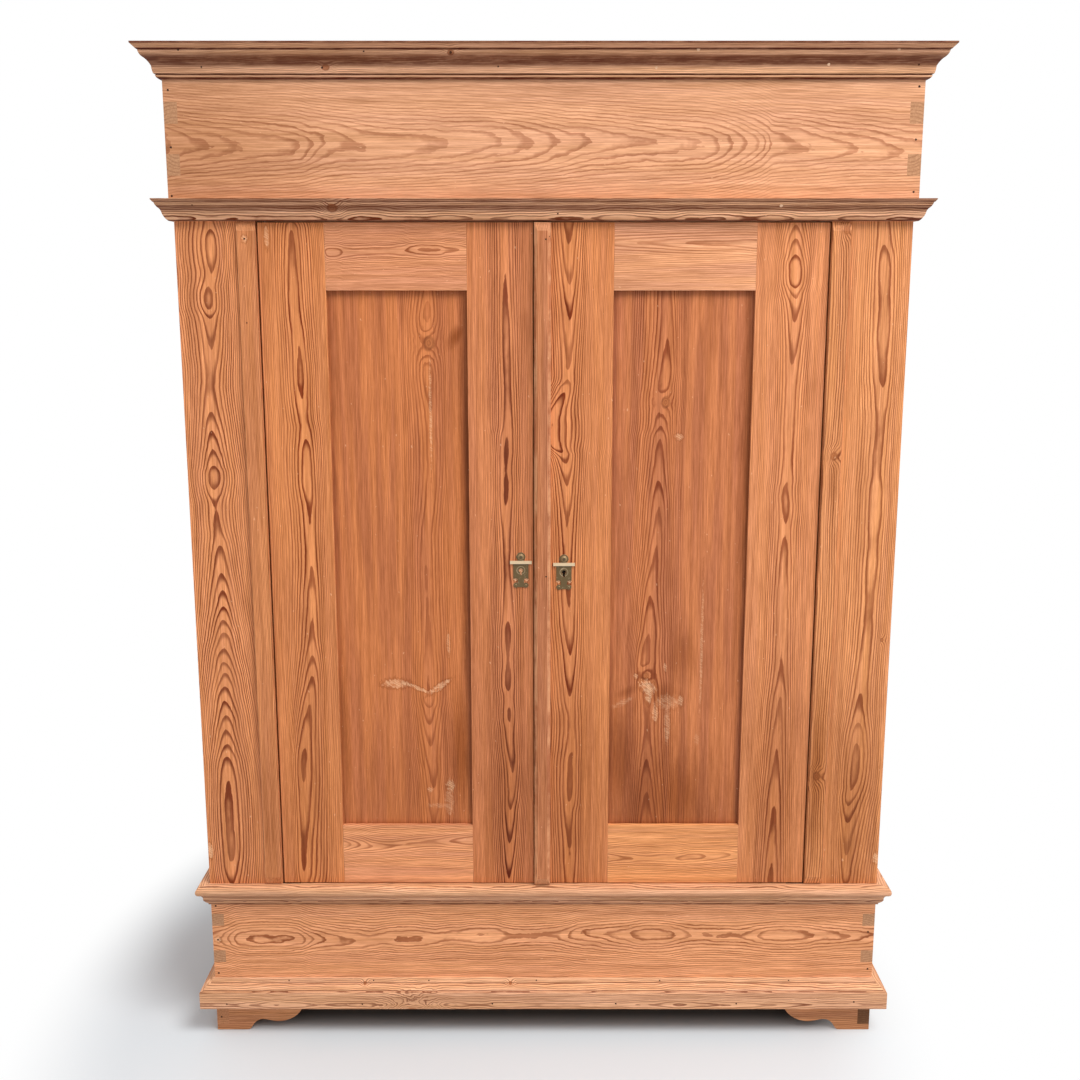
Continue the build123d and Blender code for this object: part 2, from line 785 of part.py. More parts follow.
with BuildPart() as ceiling_boards:
    planks(ceiling_x, ceiling_y, ceiling_z, ceiling_board_count)
    block(slide_hole_x, slide_hole_y, (carcass_top_z, carcass_top_z + slide_hole_depth), Mode.SUBTRACT)
save(ceiling_boards, "ceiling_boards")

# Cleats: the floor boards lie on theirs, the ceiling boards hang from theirs
with BuildPart() as board_cleats:
    floor_cleat_z = (floor_z[0] - cleat_h, floor_z[0])
    ceiling_cleat_z = (ceiling_z[1], ceiling_z[1] + cleat_h)
    for x, y, z in ((floor_x, floor_y, floor_cleat_z), (ceiling_x, ceiling_y, ceiling_cleat_z)):
        block(x, (y[0], y[0] + cleat_w), z)
        block(x, (y[1] - cleat_w, y[1]), z)
save(board_cleats, "board_cleats")

crown_z = top_z - crown_h
save(front_moulding(crown_outline, cornice_half, cornice_front_y, crown_z, crown_reach), "crown_front")
save(side_mouldings(crown_outline, cornice_half, cornice_front_y, crown_z, crown_reach), "crown_sides")
save(
    front_moulding(waist_outline, cornice_half, cornice_front_y, carcass_top_z, waist_reach), "waist_front"
)
save(
    side_mouldings(waist_outline, cornice_half, cornice_front_y, carcass_top_z, waist_reach), "waist_sides"
)

# Iron pivot sockets let into the base and cornice front boards
with BuildPart() as pivot_sockets:
    for x in pivot_places:
        for z in (low_socket_z, high_socket_z):
            block(around(x, socket_len), socket_y, z)
            rod(x, pivot_y, z, pivot_r + pivot_play, Mode.SUBTRACT)
save(pivot_sockets, "pivot_sockets")


# Door pieces, in each door's own plane
def pivot_recesses(x):
    """Cut the recesses for the pivot plates in the bottom and top ends of a hinge stile."""
    y = around(pivot_depth, pivot_plate_w)
    for z in ((0, pivot_plate_t), (door_h - pivot_plate_t, door_h)):
        block(x, y, z, Mode.SUBTRACT)


def pivots(x, pin_x):
    """The two plates of a door with their pins; the bottom pin carries the door on a shoulder."""
    y = around(pivot_depth, pivot_plate_w)
    block(x, y, (0, pivot_plate_t))
    rod(pin_x, pivot_depth, (-door_end_gap, 0), shoulder_r)
    rod(pin_x, pivot_depth, (-door_end_gap - pivot_len, 0), pivot_r)
    block(x, y, (door_h - pivot_plate_t, door_h))
    rod(pin_x, pivot_depth, (door_h, door_h + door_end_gap + pivot_len), pivot_r)


def keyhole_shape(play):
    """A round head with a straight slot below it."""
    Circle(keyhole_r + play)
    with Locations((0, -keyhole_drop / 2)):
        Rectangle(keyhole_slot_w + 2 * play, keyhole_drop)


# Where the tacks of an escutcheon go, from the top of its cap bar, with head sizes
scroll_z = -(cap_bar_h + escutcheon_body_h + scroll_drop) + scroll_r
tack_table = (
    (0, lobe_rise, dome_r, dome_h),
    (-scroll_x, scroll_z, tack_r, tack_h),
    (scroll_x, scroll_z, tack_r, tack_h),
)


def front_plane(x, height):
    """The plane on the show face of the doors, at a height above the doors' bottom edge."""
    return Plane(origin=(x, front_y, door_z + height), x_dir=(1, 0, 0), z_dir=(0, -1, 0))


def escutcheon(x, height):
    """A brass plate with a lobe, a cap bar, a keyhole and two scrolls at its foot."""
    with BuildPart() as plate:
        with BuildSketch(front_plane(x, height)):
            with Locations((0, lobe_rise)):
                Circle(lobe_r)
            with Locations((0, -cap_bar_h - escutcheon_body_h / 2)):
                Rectangle(escutcheon_body_w, escutcheon_body_h)
            foot = -cap_bar_h - escutcheon_body_h
            with Locations((0, foot - escutcheon_waist_h / 2 + scroll_notch_r / 2)):
                Rectangle(escutcheon_waist_w, escutcheon_waist_h)
            with Locations((-scroll_x, scroll_z), (scroll_x, scroll_z)):
                Circle(scroll_r)
            notch_z = foot - scroll_notch_drop + scroll_notch_r
            with Locations((-scroll_notch_x, notch_z), (scroll_notch_x, notch_z)):
                Circle(scroll_notch_r, mode=Mode.SUBTRACT)
            with Locations((0, -cap_bar_h / 2)):
                Rectangle(cap_bar_w, cap_bar_h)
        extrude(amount=escutcheon_t)
        with BuildSketch(front_plane(x, height)):
            with Locations((0, -cap_bar_h / 2)):
                Rectangle(cap_bar_w, cap_bar_h)
        extrude(amount=cap_bar_t)
        with BuildSketch(front_plane(x, height - plate_keyhole_drop)):
            keyhole_shape(0)
        extrude(amount=escutcheon_t, mode=Mode.SUBTRACT)
        with BuildSketch(front_plane(x, height)):
            for across, up, _, _ in tack_table:
                with Locations((across, up)):
                    Circle(tack_shank_r + tack_play)
        extrude(amount=escutcheon_t, mode=Mode.SUBTRACT)
    return plate


def tacks(x, height):
    """Three round-headed tacks, driven through an escutcheon into the door."""
    with BuildPart() as heads:
        for across, up, head_r, head_h in tack_table:
            seat = (x + across, front_y - escutcheon_t, door_z + height + up)
            with BuildSketch(Plane(origin=seat, x_dir=(1, 0, 0), z_dir=(0, 0, -1))):
                with BuildLine():
                    ThreePointArc(
                        (0, head_h), (head_r * dome_mid_shares[0], head_h * dome_mid_shares[1]), (head_r, 0)
                    )
                    Polyline(
                        (head_r, 0),
                        (tack_shank_r, 0),
                        (tack_shank_r, -tack_shank_len),
                        (0, -tack_shank_len),
                        (0, head_h),
                    )
                make_face()
            revolve(axis=Axis(seat, (0, -1, 0)))
    return heads


def tack_holes(x, height):
    """Cut the holes for the tack shanks in a door stile."""
    with BuildSketch(front_plane(x, height)) as holes:
        for across, up, _, _ in tack_table:
            with Locations((across, up)):
                Circle(tack_shank_r + tack_play)
    extrude(holes.sketch, amount=-tack_shank_len, mode=Mode.SUBTRACT)


# Left door, with the slide bolts and the strike of the lock
left_plane = Plane(origin=(-door_edge_x, front_y, door_z), x_dir=(1, 0, 0), z_dir=(0, 0, 1))
left_opening = (left_stile_w, left_door_w - left_stile_w)
left_plate_x = (pivot_plate_inset, pivot_plate_inset + pivot_plate_len)

with BuildPart(left_plane) as left_door_hinge_stile:
    frame_stile((0, left_stile_w), 1, door_h, door_bottom_rail_h, door_top_rail_h)
    pivot_recesses(left_plate_x)
save(left_door_hinge_stile, "left_door_hinge_stile")

bolt_z = (keyhole_h + lock_bolt_lift, keyhole_h + lock_bolt_lift + lock_bolt_h)
bolt_y = around(frame_t - lock_case_t / 2, lock_bolt_t)
strike_y = (frame_t - strike_w, frame_t)
strike_z = around(middle(bolt_z), strike_h)
strike_hole_y = (bolt_y[0] - strike_hole_play, bolt_y[1] + strike_hole_play)
strike_hole_z = (bolt_z[0] - strike_hole_play, bolt_z[1] + strike_hole_play)

with BuildPart(left_plane) as left_door_lock_stile:
    stile_x = (left_opening[1], left_door_w)
    frame_stile(stile_x, -1, door_h, door_bottom_rail_h, door_top_rail_h)
    block((left_door_w - strike_t, left_door_w), strike_y, strike_z, Mode.SUBTRACT)
    mortise_x = (left_door_w - strike_mortise_depth, left_door_w)
    block(mortise_x, strike_hole_y, strike_hole_z, Mode.SUBTRACT)
    tack_holes(left_escutcheon_x, left_escutcheon_h)
save(left_door_lock_stile, "left_door_lock_stile")

with BuildPart(left_plane) as left_door_top_rail:
    frame_rail(left_opening, (door_h - door_top_rail_h, door_h), False)
save(left_door_top_rail, "left_door_top_rail")

with BuildPart(left_plane) as left_door_bottom_rail:
    frame_rail(left_opening, (0, door_bottom_rail_h), True)
save(left_door_bottom_rail, "left_door_bottom_rail")

with BuildPart(left_plane) as left_door_panel:
    frame_panel(left_opening, door_h, door_bottom_rail_h, door_top_rail_h)
save(left_door_panel, "left_door_panel")

with BuildPart(left_plane) as left_door_pivots:
    pivots(left_plate_x, pivot_edge)
save(left_door_pivots, "left_door_pivots")

with BuildPart(left_plane) as lock_strike:
    block((left_door_w - strike_t, left_door_w), strike_y, strike_z)
    block((left_door_w - strike_t, left_door_w), strike_hole_y, strike_hole_z, Mode.SUBTRACT)
save(lock_strike, "lock_strike")

save(escutcheon(left_escutcheon_x, left_escutcheon_h), "left_escutcheon")
save(tacks(left_escutcheon_x, left_escutcheon_h), "left_escutcheon_tacks")


def slide_bolt_zone(tip_z, inward):
    """Heights of a slide bolt's bar and guide plate, from the end of the door inwards."""
    bar = ordered(tip_z, tip_z + inward * slide_bolt_len)
    plate_tip = tip_z + inward * guide_plate_end
    plate = ordered(plate_tip, plate_tip + inward * guide_plate_h)
    return bar, plate


slide_x = slide_bolt_x + door_edge_x
slide_ends = {"top": (door_h, -1), "bottom": (0, 1)}

with BuildPart(left_plane) as slide_bolt_guides:
    for tip_z, inward in slide_ends.values():
        bar, plate = slide_bolt_zone(tip_z, inward)
        block(around(slide_x, guide_plate_w), (frame_t, frame_t + guide_plate_t), plate)
        hollow_x = around(slide_x, slide_bolt_w + 2 * slide_bolt_play)
        hollow_y = around(slide_bolt_y, slide_bolt_w + 2 * slide_bolt_play)
        for z in ((plate[0], plate[0] + guide_h), (plate[1] - guide_h, plate[1])):
            block(around(slide_x, guide_w), (frame_t + guide_plate_t, hollow_y[1] + guide_t), z)
            block(hollow_x, hollow_y, z, Mode.SUBTRACT)
save(slide_bolt_guides, "slide_bolt_guides")

for name, (tip_z, inward) in slide_ends.items():
    with BuildPart(left_plane) as slide_bolt:
        bar, plate = slide_bolt_zone(tip_z, inward)
        block(around(slide_x, slide_bolt_w), around(slide_bolt_y, slide_bolt_w), bar)
        knob_y = front_y + slide_bolt_y + slide_bolt_w / 2
        knob_seat = (slide_bolt_x, knob_y, door_z + tip_z + inward * knob_from_tip)
        with BuildSketch(Plane(origin=knob_seat, x_dir=(1, 0, 0), z_dir=(0, 1, 0))):
            Circle(knob_r)
        extrude(amount=knob_len)
    save(slide_bolt, f"{name}_slide_bolt")

# Right door, with the centre batten and the lock
right_plane = Plane(origin=(meeting_x, front_y, door_z), x_dir=(1, 0, 0), z_dir=(0, 0, 1))
right_opening = (right_lock_stile_w, right_door_w - right_hinge_stile_w)
plate_end = right_door_w - pivot_plate_inset
right_plate_x = (plate_end - pivot_plate_len, plate_end)
case_x = (0, lock_case_w)
case_y = (frame_t - lock_case_t, frame_t)
case_z = (keyhole_h - lock_case_drop, keyhole_h - lock_case_drop + lock_case_h)

with BuildPart(right_plane) as right_door_lock_stile:
    frame_stile((0, right_lock_stile_w), 1, door_h, door_bottom_rail_h, door_top_rail_h)
    block(case_x, case_y, case_z, Mode.SUBTRACT)
    with BuildSketch(front_plane(right_escutcheon_x, keyhole_h).offset(-case_y[0])) as keyway:
        keyhole_shape(0)
    extrude(keyway.sketch, amount=case_y[0], mode=Mode.SUBTRACT)
    tack_holes(right_escutcheon_x, right_escutcheon_h)
save(right_door_lock_stile, "right_door_lock_stile")

with BuildPart(right_plane) as right_door_hinge_stile:
    stile_x = (right_opening[1], right_door_w)
    frame_stile(stile_x, -1, door_h, door_bottom_rail_h, door_top_rail_h)
    pivot_recesses(right_plate_x)
save(right_door_hinge_stile, "right_door_hinge_stile")

with BuildPart(right_plane) as right_door_top_rail:
    frame_rail(right_opening, (door_h - door_top_rail_h, door_h), False)
save(right_door_top_rail, "right_door_top_rail")

with BuildPart(right_plane) as right_door_bottom_rail:
    frame_rail(right_opening, (0, door_bottom_rail_h), True)
save(right_door_bottom_rail, "right_door_bottom_rail")

with BuildPart(right_plane) as right_door_panel:
    frame_panel(right_opening, door_h, door_bottom_rail_h, door_top_rail_h)
save(right_door_panel, "right_door_panel")

with BuildPart(right_plane) as right_door_pivots:
    pivots(right_plate_x, right_door_w - pivot_edge)
save(right_door_pivots, "right_door_pivots")

# The batten's front is hipped: a narrow bevel along each side and a long one at each end
with BuildPart() as centre_batten:
    batten_x = (meeting_x, meeting_x + centre_batten_w)
    block(batten_x, (front_y - centre_batten_t, front_y), (door_z, door_z + door_h))
    front_face = centre_batten.faces().sort_by(Axis.Y)[0]
    ends = front_face.edges().filter_by(Axis.X)
    chamfer(ends, length=batten_end_bevel, length2=batten_side_bevel, reference=front_face)
    long_edges = centre_batten.faces().sort_by(Axis.Y)[0].edges().filter_by(Axis.Z)
    chamfer(long_edges, batten_side_bevel)
save(centre_batten, "centre_batten")

save(escutcheon(right_escutcheon_x, right_escutcheon_h), "right_escutcheon")
save(tacks(right_escutcheon_x, right_escutcheon_h), "right_escutcheon_tacks")

with BuildPart(right_plane) as lock_case:
    block(case_x, case_y, case_z)
    inner_x = (case_x[0] + lock_wall, case_x[1] - lock_wall)
    inner_y = (case_y[0] + lock_wall, case_y[1] - lock_wall)
    inner_z = (case_z[0] + lock_wall, case_z[1] - lock_wall)
    block(inner_x, inner_y, inner_z, Mode.SUBTRACT)
    slot_y = (bolt_y[0] - lock_bolt_play, bolt_y[1] + lock_bolt_play)
    slot_z = (bolt_z[0] - lock_bolt_play, bolt_z[1] + lock_bolt_play)
    block((case_x[0], inner_x[0]), slot_y, slot_z, Mode.SUBTRACT)
    with BuildSketch(front_plane(right_escutcheon_x, keyhole_h).offset(-inner_y[0])) as case_keyway:
        keyhole_shape(case_keyhole_play)
    extrude(case_keyway.sketch, amount=lock_wall, mode=Mode.SUBTRACT)
save(lock_case, "lock_case")

with BuildPart(right_plane) as lock_bolt:
    block((0, lock_bolt_len), bolt_y, bolt_z)
    block(around(lock_backset, talon_w), bolt_y, (bolt_z[0], bolt_z[0] + talon_h), Mode.SUBTRACT)
save(lock_bolt, "lock_bolt")
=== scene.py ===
# %% [markdown]
# # An old pine wardrobe
#
# This lesson dresses a finished model of a stripped pine wardrobe: two panelled doors
# between a moulded cornice and a moulded base on bracket feet. Each board, or set of like
# boards, is a mesh of its own, so the work here is the camera, the light, the timber, the
# old brass and iron, and the nails. All lengths are in metres, or in millimetres times MM.

# %% Load the model
import math

import bpy
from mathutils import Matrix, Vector
from mathutils.bvhtree import BVHTree


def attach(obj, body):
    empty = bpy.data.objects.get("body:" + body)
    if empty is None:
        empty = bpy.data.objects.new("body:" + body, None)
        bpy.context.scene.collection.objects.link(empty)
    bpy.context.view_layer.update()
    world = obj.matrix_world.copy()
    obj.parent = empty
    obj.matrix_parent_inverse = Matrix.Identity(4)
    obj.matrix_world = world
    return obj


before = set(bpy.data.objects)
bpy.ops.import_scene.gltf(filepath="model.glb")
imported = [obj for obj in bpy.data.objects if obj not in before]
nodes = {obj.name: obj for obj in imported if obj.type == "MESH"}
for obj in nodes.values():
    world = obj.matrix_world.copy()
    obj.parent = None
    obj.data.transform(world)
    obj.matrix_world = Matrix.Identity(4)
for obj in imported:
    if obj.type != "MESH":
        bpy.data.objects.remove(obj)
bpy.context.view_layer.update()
MM = 0.001

# %% [markdown]
# ## The camera
#
# The wardrobe is seen straight from the front, by someone who stands two and a half
# metres away and tips the camera down a little, so its sides lean together towards the
# floor. A 42 mm lens on a 36 mm sensor gives the same convergence.

# %% Camera
camera_data = bpy.data.cameras.new("camera")
camera_data.lens = 42.0
camera_data.sensor_width = 36.0
camera = bpy.data.objects.new("camera", camera_data)
camera.location = (-6.6 * MM, -2555.25 * MM, 1469.6 * MM)
camera.rotation_euler = (math.radians(78.87), 0.0, 0.0)
bpy.context.scene.collection.objects.link(camera)
bpy.context.scene.camera = camera
bpy.context.scene.view_settings.view_transform = "Standard"
print("camera at", tuple(round(value, 3) for value in camera.location))

# %% [markdown]
# ## Small tools for shader nodes
#
# Materials made in a script need many small nodes. A wire stands here for the output of
# a node. Wires can be added, subtracted, multiplied and divided like numbers, and each
# such step makes one Math node, so the recipes below read like sums. The helpers take
# wires and plain numbers alike, and put their node into the tree that the wires are in.


# %% Wires
class Wire:
    """The output of a node, which can be used in sums."""

    def __init__(self, socket):
        self.socket = socket

    def __add__(self, other):
        return calc("ADD", self, other)

    def __sub__(self, other):
        return calc("SUBTRACT", self, other)

    def __rsub__(self, other):
        return calc("SUBTRACT", other, self)

    def __mul__(self, other):
        return calc("MULTIPLY", self, other)

    def __truediv__(self, other):
        return calc("DIVIDE", self, other)

    __radd__ = __add__
    __rmul__ = __mul__


def feed(socket, value):
    """Links an input to a wire, or sets it to a plain value."""
    if isinstance(value, Wire):
        socket.id_data.links.new(value.socket, socket)
    else:
        socket.default_value = value


def add_node(kind, inputs, output=0, tree=None, **settings):
    """Makes a node with its settings and inputs, and gives one of its outputs."""
    if tree is None:
        tree = next(value.socket.id_data for value in inputs.values() if isinstance(value, Wire))
    node = tree.nodes.new("ShaderNode" + kind)
    for title, value in settings.items():
        setattr(node, title, value)
    for title, value in inputs.items():
        feed(node.inputs[title], value)
    return Wire(node.outputs[output])


print("wires ready")


# %% Node helpers
def calc(operation, *values):
    """One step of arithmetic."""
    return add_node("Math", dict(enumerate(values)), operation=operation)


def most(first, second):
    """The larger of two values."""
    return calc("MAXIMUM", first, second)


def least(first, second):
    """The smaller of two values."""
    return calc("MINIMUM", first, second)


def vector_calc(operation, *values):
    """One step of vector arithmetic."""
    output = "Value" if operation in ("DOT_PRODUCT", "LENGTH") else "Vector"
    return add_node("VectorMath", dict(enumerate(values)), output, operation=operation)


def combine(x, y, z=0.0):
    """Three values as one vector."""
    return add_node("CombineXYZ", {0: x, 1: y, 2: z})


def separate(vector):
    """The three values of a vector."""
    node = add_node("SeparateXYZ", {0: vector}).socket.node
    return [Wire(output) for output in node.outputs]


def noise(vector, scale, detail, roughness=0.5):
    """Smooth noise around a half."""
    inputs = {"Vector": vector, "Scale": scale, "Detail": detail, "Roughness": roughness}
    return add_node("TexNoise", inputs)


def fade(value, low, high, start=0.0, end=1.0):
    """Goes smoothly from start to end while the value goes from low to high."""
    inputs = {"Value": value, "From Min": low, "From Max": high, "To Min": start, "To Max": end}
    return add_node("MapRange", inputs, interpolation_type="SMOOTHSTEP")


def fall(value, low, high):
    """Goes smoothly from one to nought while the value goes from low to high."""
    return fade(value, low, high, 1.0, 0.0)


def bell(value):
    """One at nought, and less and less to both sides of it."""
    return calc("EXPONENT", calc("POWER", value, 2.0) * -1.0)


def blend_colours(factor, first, second, kind="MIX"):
    """Mixes two colours."""
    return add_node("Mix", {0: factor, 6: first, 7: second}, 2, data_type="RGBA", blend_type=kind)


def squareness(facing):
    """One where a surface faces straight along an axis, less where its corner is round."""
    x, y, z = separate(vector_calc("ABSOLUTE", facing))
    return most(x, most(y, z))


def shade(red, green, blue):
    """A colour as it looks on the screen, turned into the linear values that nodes use."""
    def linear(value):
        return value / 12.92 if value <= 0.04045 else ((value + 0.055) / 1.055) ** 2.4
    return (linear(red), linear(green), linear(blue), 1.0)


WHITE = (1.0, 1.0, 1.0, 1.0)
print("node helpers ready")


# %% Groups and materials
def new_group(name, inputs, outputs):
    """A node group: inputs by name with their first values, outputs by name.

    A first value with three parts makes a vector and one with four makes a colour."""
    group = bpy.data.node_groups.new(name, "ShaderNodeTree")
    kinds = {1: "NodeSocketFloat", 3: "NodeSocketVector", 4: "NodeSocketColor"}
    for title, value in inputs.items():
        parts = len(value) if isinstance(value, tuple) else 1
        socket = group.interface.new_socket(title, in_out="INPUT", socket_type=kinds[parts])
        socket.default_value = value
    for title in outputs:
        kind = kinds[4] if title == "Color" else kinds[1]
        group.interface.new_socket(title, in_out="OUTPUT", socket_type=kind)
    entry = group.nodes.new("NodeGroupInput").outputs
    leave = group.nodes.new("NodeGroupOutput").inputs
    return group, {title: Wire(entry[title]) for title in inputs}, leave


def place_group(tree, group, **values):
    """Places a group in a tree; words in a keyword stand for the words of an input's name."""
    node = tree.nodes.new("ShaderNodeGroup")
    node.node_tree = group
    for title, value in values.items():
        feed(node.inputs[title.replace("_", " ")], value)
    return {output.name: Wire(output) for output in node.outputs}


def new_finish(name):
    """An empty material, its tree, and wires for the place and the direction of its points."""
    finish = bpy.data.materials.new(name)
    finish.use_nodes = True
    tree = finish.node_tree
    tree.nodes.clear()
    place = tree.nodes.new("ShaderNodeTexCoord").outputs
    return finish, tree, Wire(place["Object"]), Wire(place["Normal"])


def close_finish(tree, skin, bump_strength, bump_depth, specular=0.5):
    """Ends a material: its skin feeds a Principled shader, and the skin's height a bump."""
    bump = {"Strength": bump_strength, "Distance": bump_depth, "Height": skin["Height"]}
    surface = {"Base Color": skin["Color"], "Roughness": skin["Roughness"],
               "Specular IOR Level": specular, "Normal": add_node("Bump", bump)}
    if "Metallic" in skin:
        surface["Metallic"] = skin["Metallic"]
    end = tree.nodes.new("ShaderNodeOutputMaterial")
    feed(end.inputs["Surface"], add_node("BsdfPrincipled", surface))


print("group and material helpers ready")

# %% [markdown]
# ## Light and studio
#
# The real piece stands in soft daylight that comes from above and a little from the
# right, so its ledges are much brighter than its fronts. Here the world is brighter above
# than below, and one large, high lamp gives the light its direction, so every moulding
# gets a soft shadow under it. Together they are set so that a colour on the doors comes
# out about as it is written. The floor is pale near the piece, where it catches the
# shadow, has a dark shadow painted on it right under the piece, and turns into the white
# of the background further out.

# %% World and lamp
LIGHT_BELOW, LIGHT_ABOVE = 0.34, 0.80
SKY_TINT = (1.0, 0.985, 0.965, 1.0)
LAMP_POWER = 215.0
LAMP_AIM = Vector((0.0, 0.0, 1.0))
world = bpy.data.worlds.new("studio")
bpy.context.scene.world = world
world.use_nodes = True
sky = world.node_tree
sky.nodes.clear()


def seen_directly(tree):
    """One for what the camera sees, directly, in a reflection or through glass."""
    path = tree.nodes.new("ShaderNodeLightPath").outputs
    either = most(Wire(path["Is Camera Ray"]), Wire(path["Is Glossy Ray"]))
    return most(either, Wire(path["Is Transmission Ray"]))


def mix_shaders(factor, first, second):
    """Mixes two shaders."""
    return add_node("MixShader", {0: factor, 1: first, 2: second})


sky_height = separate(add_node("TexCoord", {}, "Generated", sky))[2]
sky_strength = fade(sky_height, -1.0, 1.0, LIGHT_BELOW, LIGHT_ABOVE)
sky_light = add_node("Background", {"Color": SKY_TINT, "Strength": sky_strength})
sky_white = add_node("Background", {"Color": WHITE, "Strength": 1.0}, tree=sky)
world_end = sky.nodes.new("ShaderNodeOutputWorld")
feed(world_end.inputs[0], mix_shaders(seen_directly(sky), sky_light, sky_white))

lamp_data = bpy.data.lights.new("window_light", "AREA")
lamp_data.shape = "RECTANGLE"
lamp_data.size = 2.6
lamp_data.size_y = 2.0
lamp_data.energy = LAMP_POWER
lamp_data.color = (1.0, 0.98, 0.95)
lamp = bpy.data.objects.new("window_light", lamp_data)
lamp.location = (1.9, -2.4, 4.7)
lamp.rotation_euler = (LAMP_AIM - lamp.location).to_track_quat("-Z", "Y").to_euler()
bpy.context.scene.collection.objects.link(lamp)
print("world from", LIGHT_BELOW, "to", LIGHT_ABOVE, "and lamp at", LAMP_POWER, "W")

# %% Floor
FLOOR_HALF = 9.0
FLOOR_DROP = 0.4 * MM
FLOOR_MIDDLE = (-0.14, -0.1, 0.0)
FLOOR_REACH = (0.9, 1.3)
# A dark grey shadow is painted on the floor right under the piece.
UNDER_HALF, UNDER_FRONT, UNDER_SOFT = 0.6, -0.2, 0.03
FLOOR_COLOUR, UNDER_COLOUR = (0.655, 0.70, 0.745, 1.0), (0.16, 0.16, 0.16, 1.0)
floor_mesh = bpy.data.meshes.new("studio_floor")
floor_corners = [(-FLOOR_HALF, -FLOOR_HALF, 0), (FLOOR_HALF, -FLOOR_HALF, 0)]
floor_corners += [(FLOOR_HALF, FLOOR_HALF, 0), (-FLOOR_HALF, FLOOR_HALF, 0)]
floor_mesh.from_pydata(floor_corners, [], [(0, 1, 2, 3)])
studio_floor = bpy.data.objects.new("studio_floor", floor_mesh)
studio_floor.location = (0.0, 0.0, -FLOOR_DROP)
bpy.context.scene.collection.objects.link(studio_floor)

floor_finish, floor_tree, floor_point, _ = new_finish("studio_floor")
from_middle = vector_calc("SUBTRACT", floor_point, FLOOR_MIDDLE)
from_middle = vector_calc("MULTIPLY", from_middle, (1 / FLOOR_REACH[0], 1 / FLOOR_REACH[1], 0.0))
far_out = fade(vector_calc("LENGTH", from_middle), 0.75, 1.05)
floor_x, floor_y, _ = separate(floor_point)
# Painted shadow: inside the footprint of the piece the floor turns dark grey.
from_base = most(calc("ABSOLUTE", floor_x) - UNDER_HALF, UNDER_FRONT - floor_y)
floor_colour = blend_colours(fade(from_base, -UNDER_SOFT, UNDER_SOFT), UNDER_COLOUR, FLOOR_COLOUR)
floor_cloth = add_node("BsdfDiffuse", {"Color": floor_colour})
floor_glow = add_node("Emission", {}, tree=floor_tree)
floor_end = floor_tree.nodes.new("ShaderNodeOutputMaterial")
feed(floor_end.inputs[0], mix_shaders(far_out * seen_directly(floor_tree), floor_cloth, floor_glow))
floor_mesh.materials.append(floor_finish)
print("floor", 2 * FLOOR_HALF, "m across")

# %% [markdown]
# ## How pine gets its pattern
#
# A tree adds a ring each year: a pale, soft part in spring, and a narrow, dark, hard part
# in summer that stops at a sharp line. A board cuts through these rings. Straight lines
# show where the cut runs along them, and arches and ovals where the trunk swells or
# tapers under the surface. So the pattern isn't painted. The group below works out how
# many rings lie between the heart of the tree and a point of the board: the distance
# from the heart line, counted in ring widths, plus the taper of the trunk at that
# height. The last part of each ring is the dark line. Because the sum uses all three
# directions, the edges and the ends of a board show the same rings as its face.

# %% Where a point lies in its board
OTHER_SIDE_SEED = 4.1
board_space, entry, leave = new_group(
    "board_space",
    {"Point": (0, 0, 0), "Grain": (0, 0, 1), "Side": (1, 0, 0), "Inward": (0, 1, 0),
     "Face": 0.0, "Mirror": 0.0, "Seed": 0.0},
    ("Along", "Across", "Depth", "Seed"),
)
x, y, z = separate(entry["Point"])
folded = calc("ABSOLUTE", x) * entry["Mirror"] + x * (1.0 - entry["Mirror"])
point = combine(folded, y, z)
feed(leave["Along"], vector_calc("DOT_PRODUCT", point, entry["Grain"]))
feed(leave["Across"], vector_calc("DOT_PRODUCT", point, entry["Side"]))
feed(leave["Depth"], vector_calc("DOT_PRODUCT", point, entry["Inward"]) - entry["Face"])
feed(leave["Seed"], entry["Seed"] + calc("SIGN", x) * entry["Mirror"] * OTHER_SIDE_SEED)
print("group", board_space.name)

# %% Growth rings
SEED_SPREAD = 7.31
FULL_DARK, SHARP_STOP = 0.82, 0.95
UNEVEN_RATE, UNEVEN_SHARE = 0.37, 0.9
YEAR_SPREAD, LEAST_YEAR = 0.28, 0.74
growth_rings, entry, leave = new_group(
    "growth_rings",
    {"Along": 0.0, "Across": 0.0, "Depth": 0.0, "Taper": 0.0, "Ring Width": 0.003,
     "Heart Depth": 0.02, "Drift": 0.0, "Waver": 0.9, "Waver Along": 9.0, "Jagged": 0.25,
     "Late Start": 0.43, "Figure Half": 1.0, "Side Strength": 0.25, "Bow": 0.0, "Seed": 0.0},
    ("Latewood",),
)
seed_shift = entry["Seed"] * SEED_SPREAD


def wandering(along_scale, across_scale, detail):
    """Noise around zero, stretched along the grain."""
    spot = combine(entry["Along"] * along_scale + seed_shift, entry["Across"] * across_scale,
                   entry["Depth"] * across_scale)
    return noise(spot, 1.0, detail) - 0.5


heart_share = calc("ABSOLUTE", entry["Across"]) / entry["Figure Half"]
heart_spot = combine(entry["Across"], entry["Heart Depth"] + entry["Depth"])
count = (vector_calc("LENGTH", heart_spot) - entry["Heart Depth"]) / entry["Ring Width"]
drift = wandering(2.2, 0.0, 3.0) * entry["Drift"]
waver = wandering(entry["Waver Along"], 25.0, 1.5) * entry["Waver"]
waver = waver * fade(heart_share, 0.2, 1.0, 1.0, 0.4)
jagged = wandering(45.0, 90.0, 2.0) * entry["Jagged"]
count = count + entry["Taper"] + drift + waver + jagged + entry["Bow"]
uneven = noise(combine(count * UNEVEN_RATE, seed_shift, 3.0), 1.0, 0.0) - 0.5
count = uneven * UNEVEN_SHARE + count
part_of_year = calc("FRACT", count)
year_seed = calc("FLOOR", count) + seed_shift
year_noise = add_node("TexWhiteNoise", {"W": year_seed}, "Value", noise_dimensions="1D")
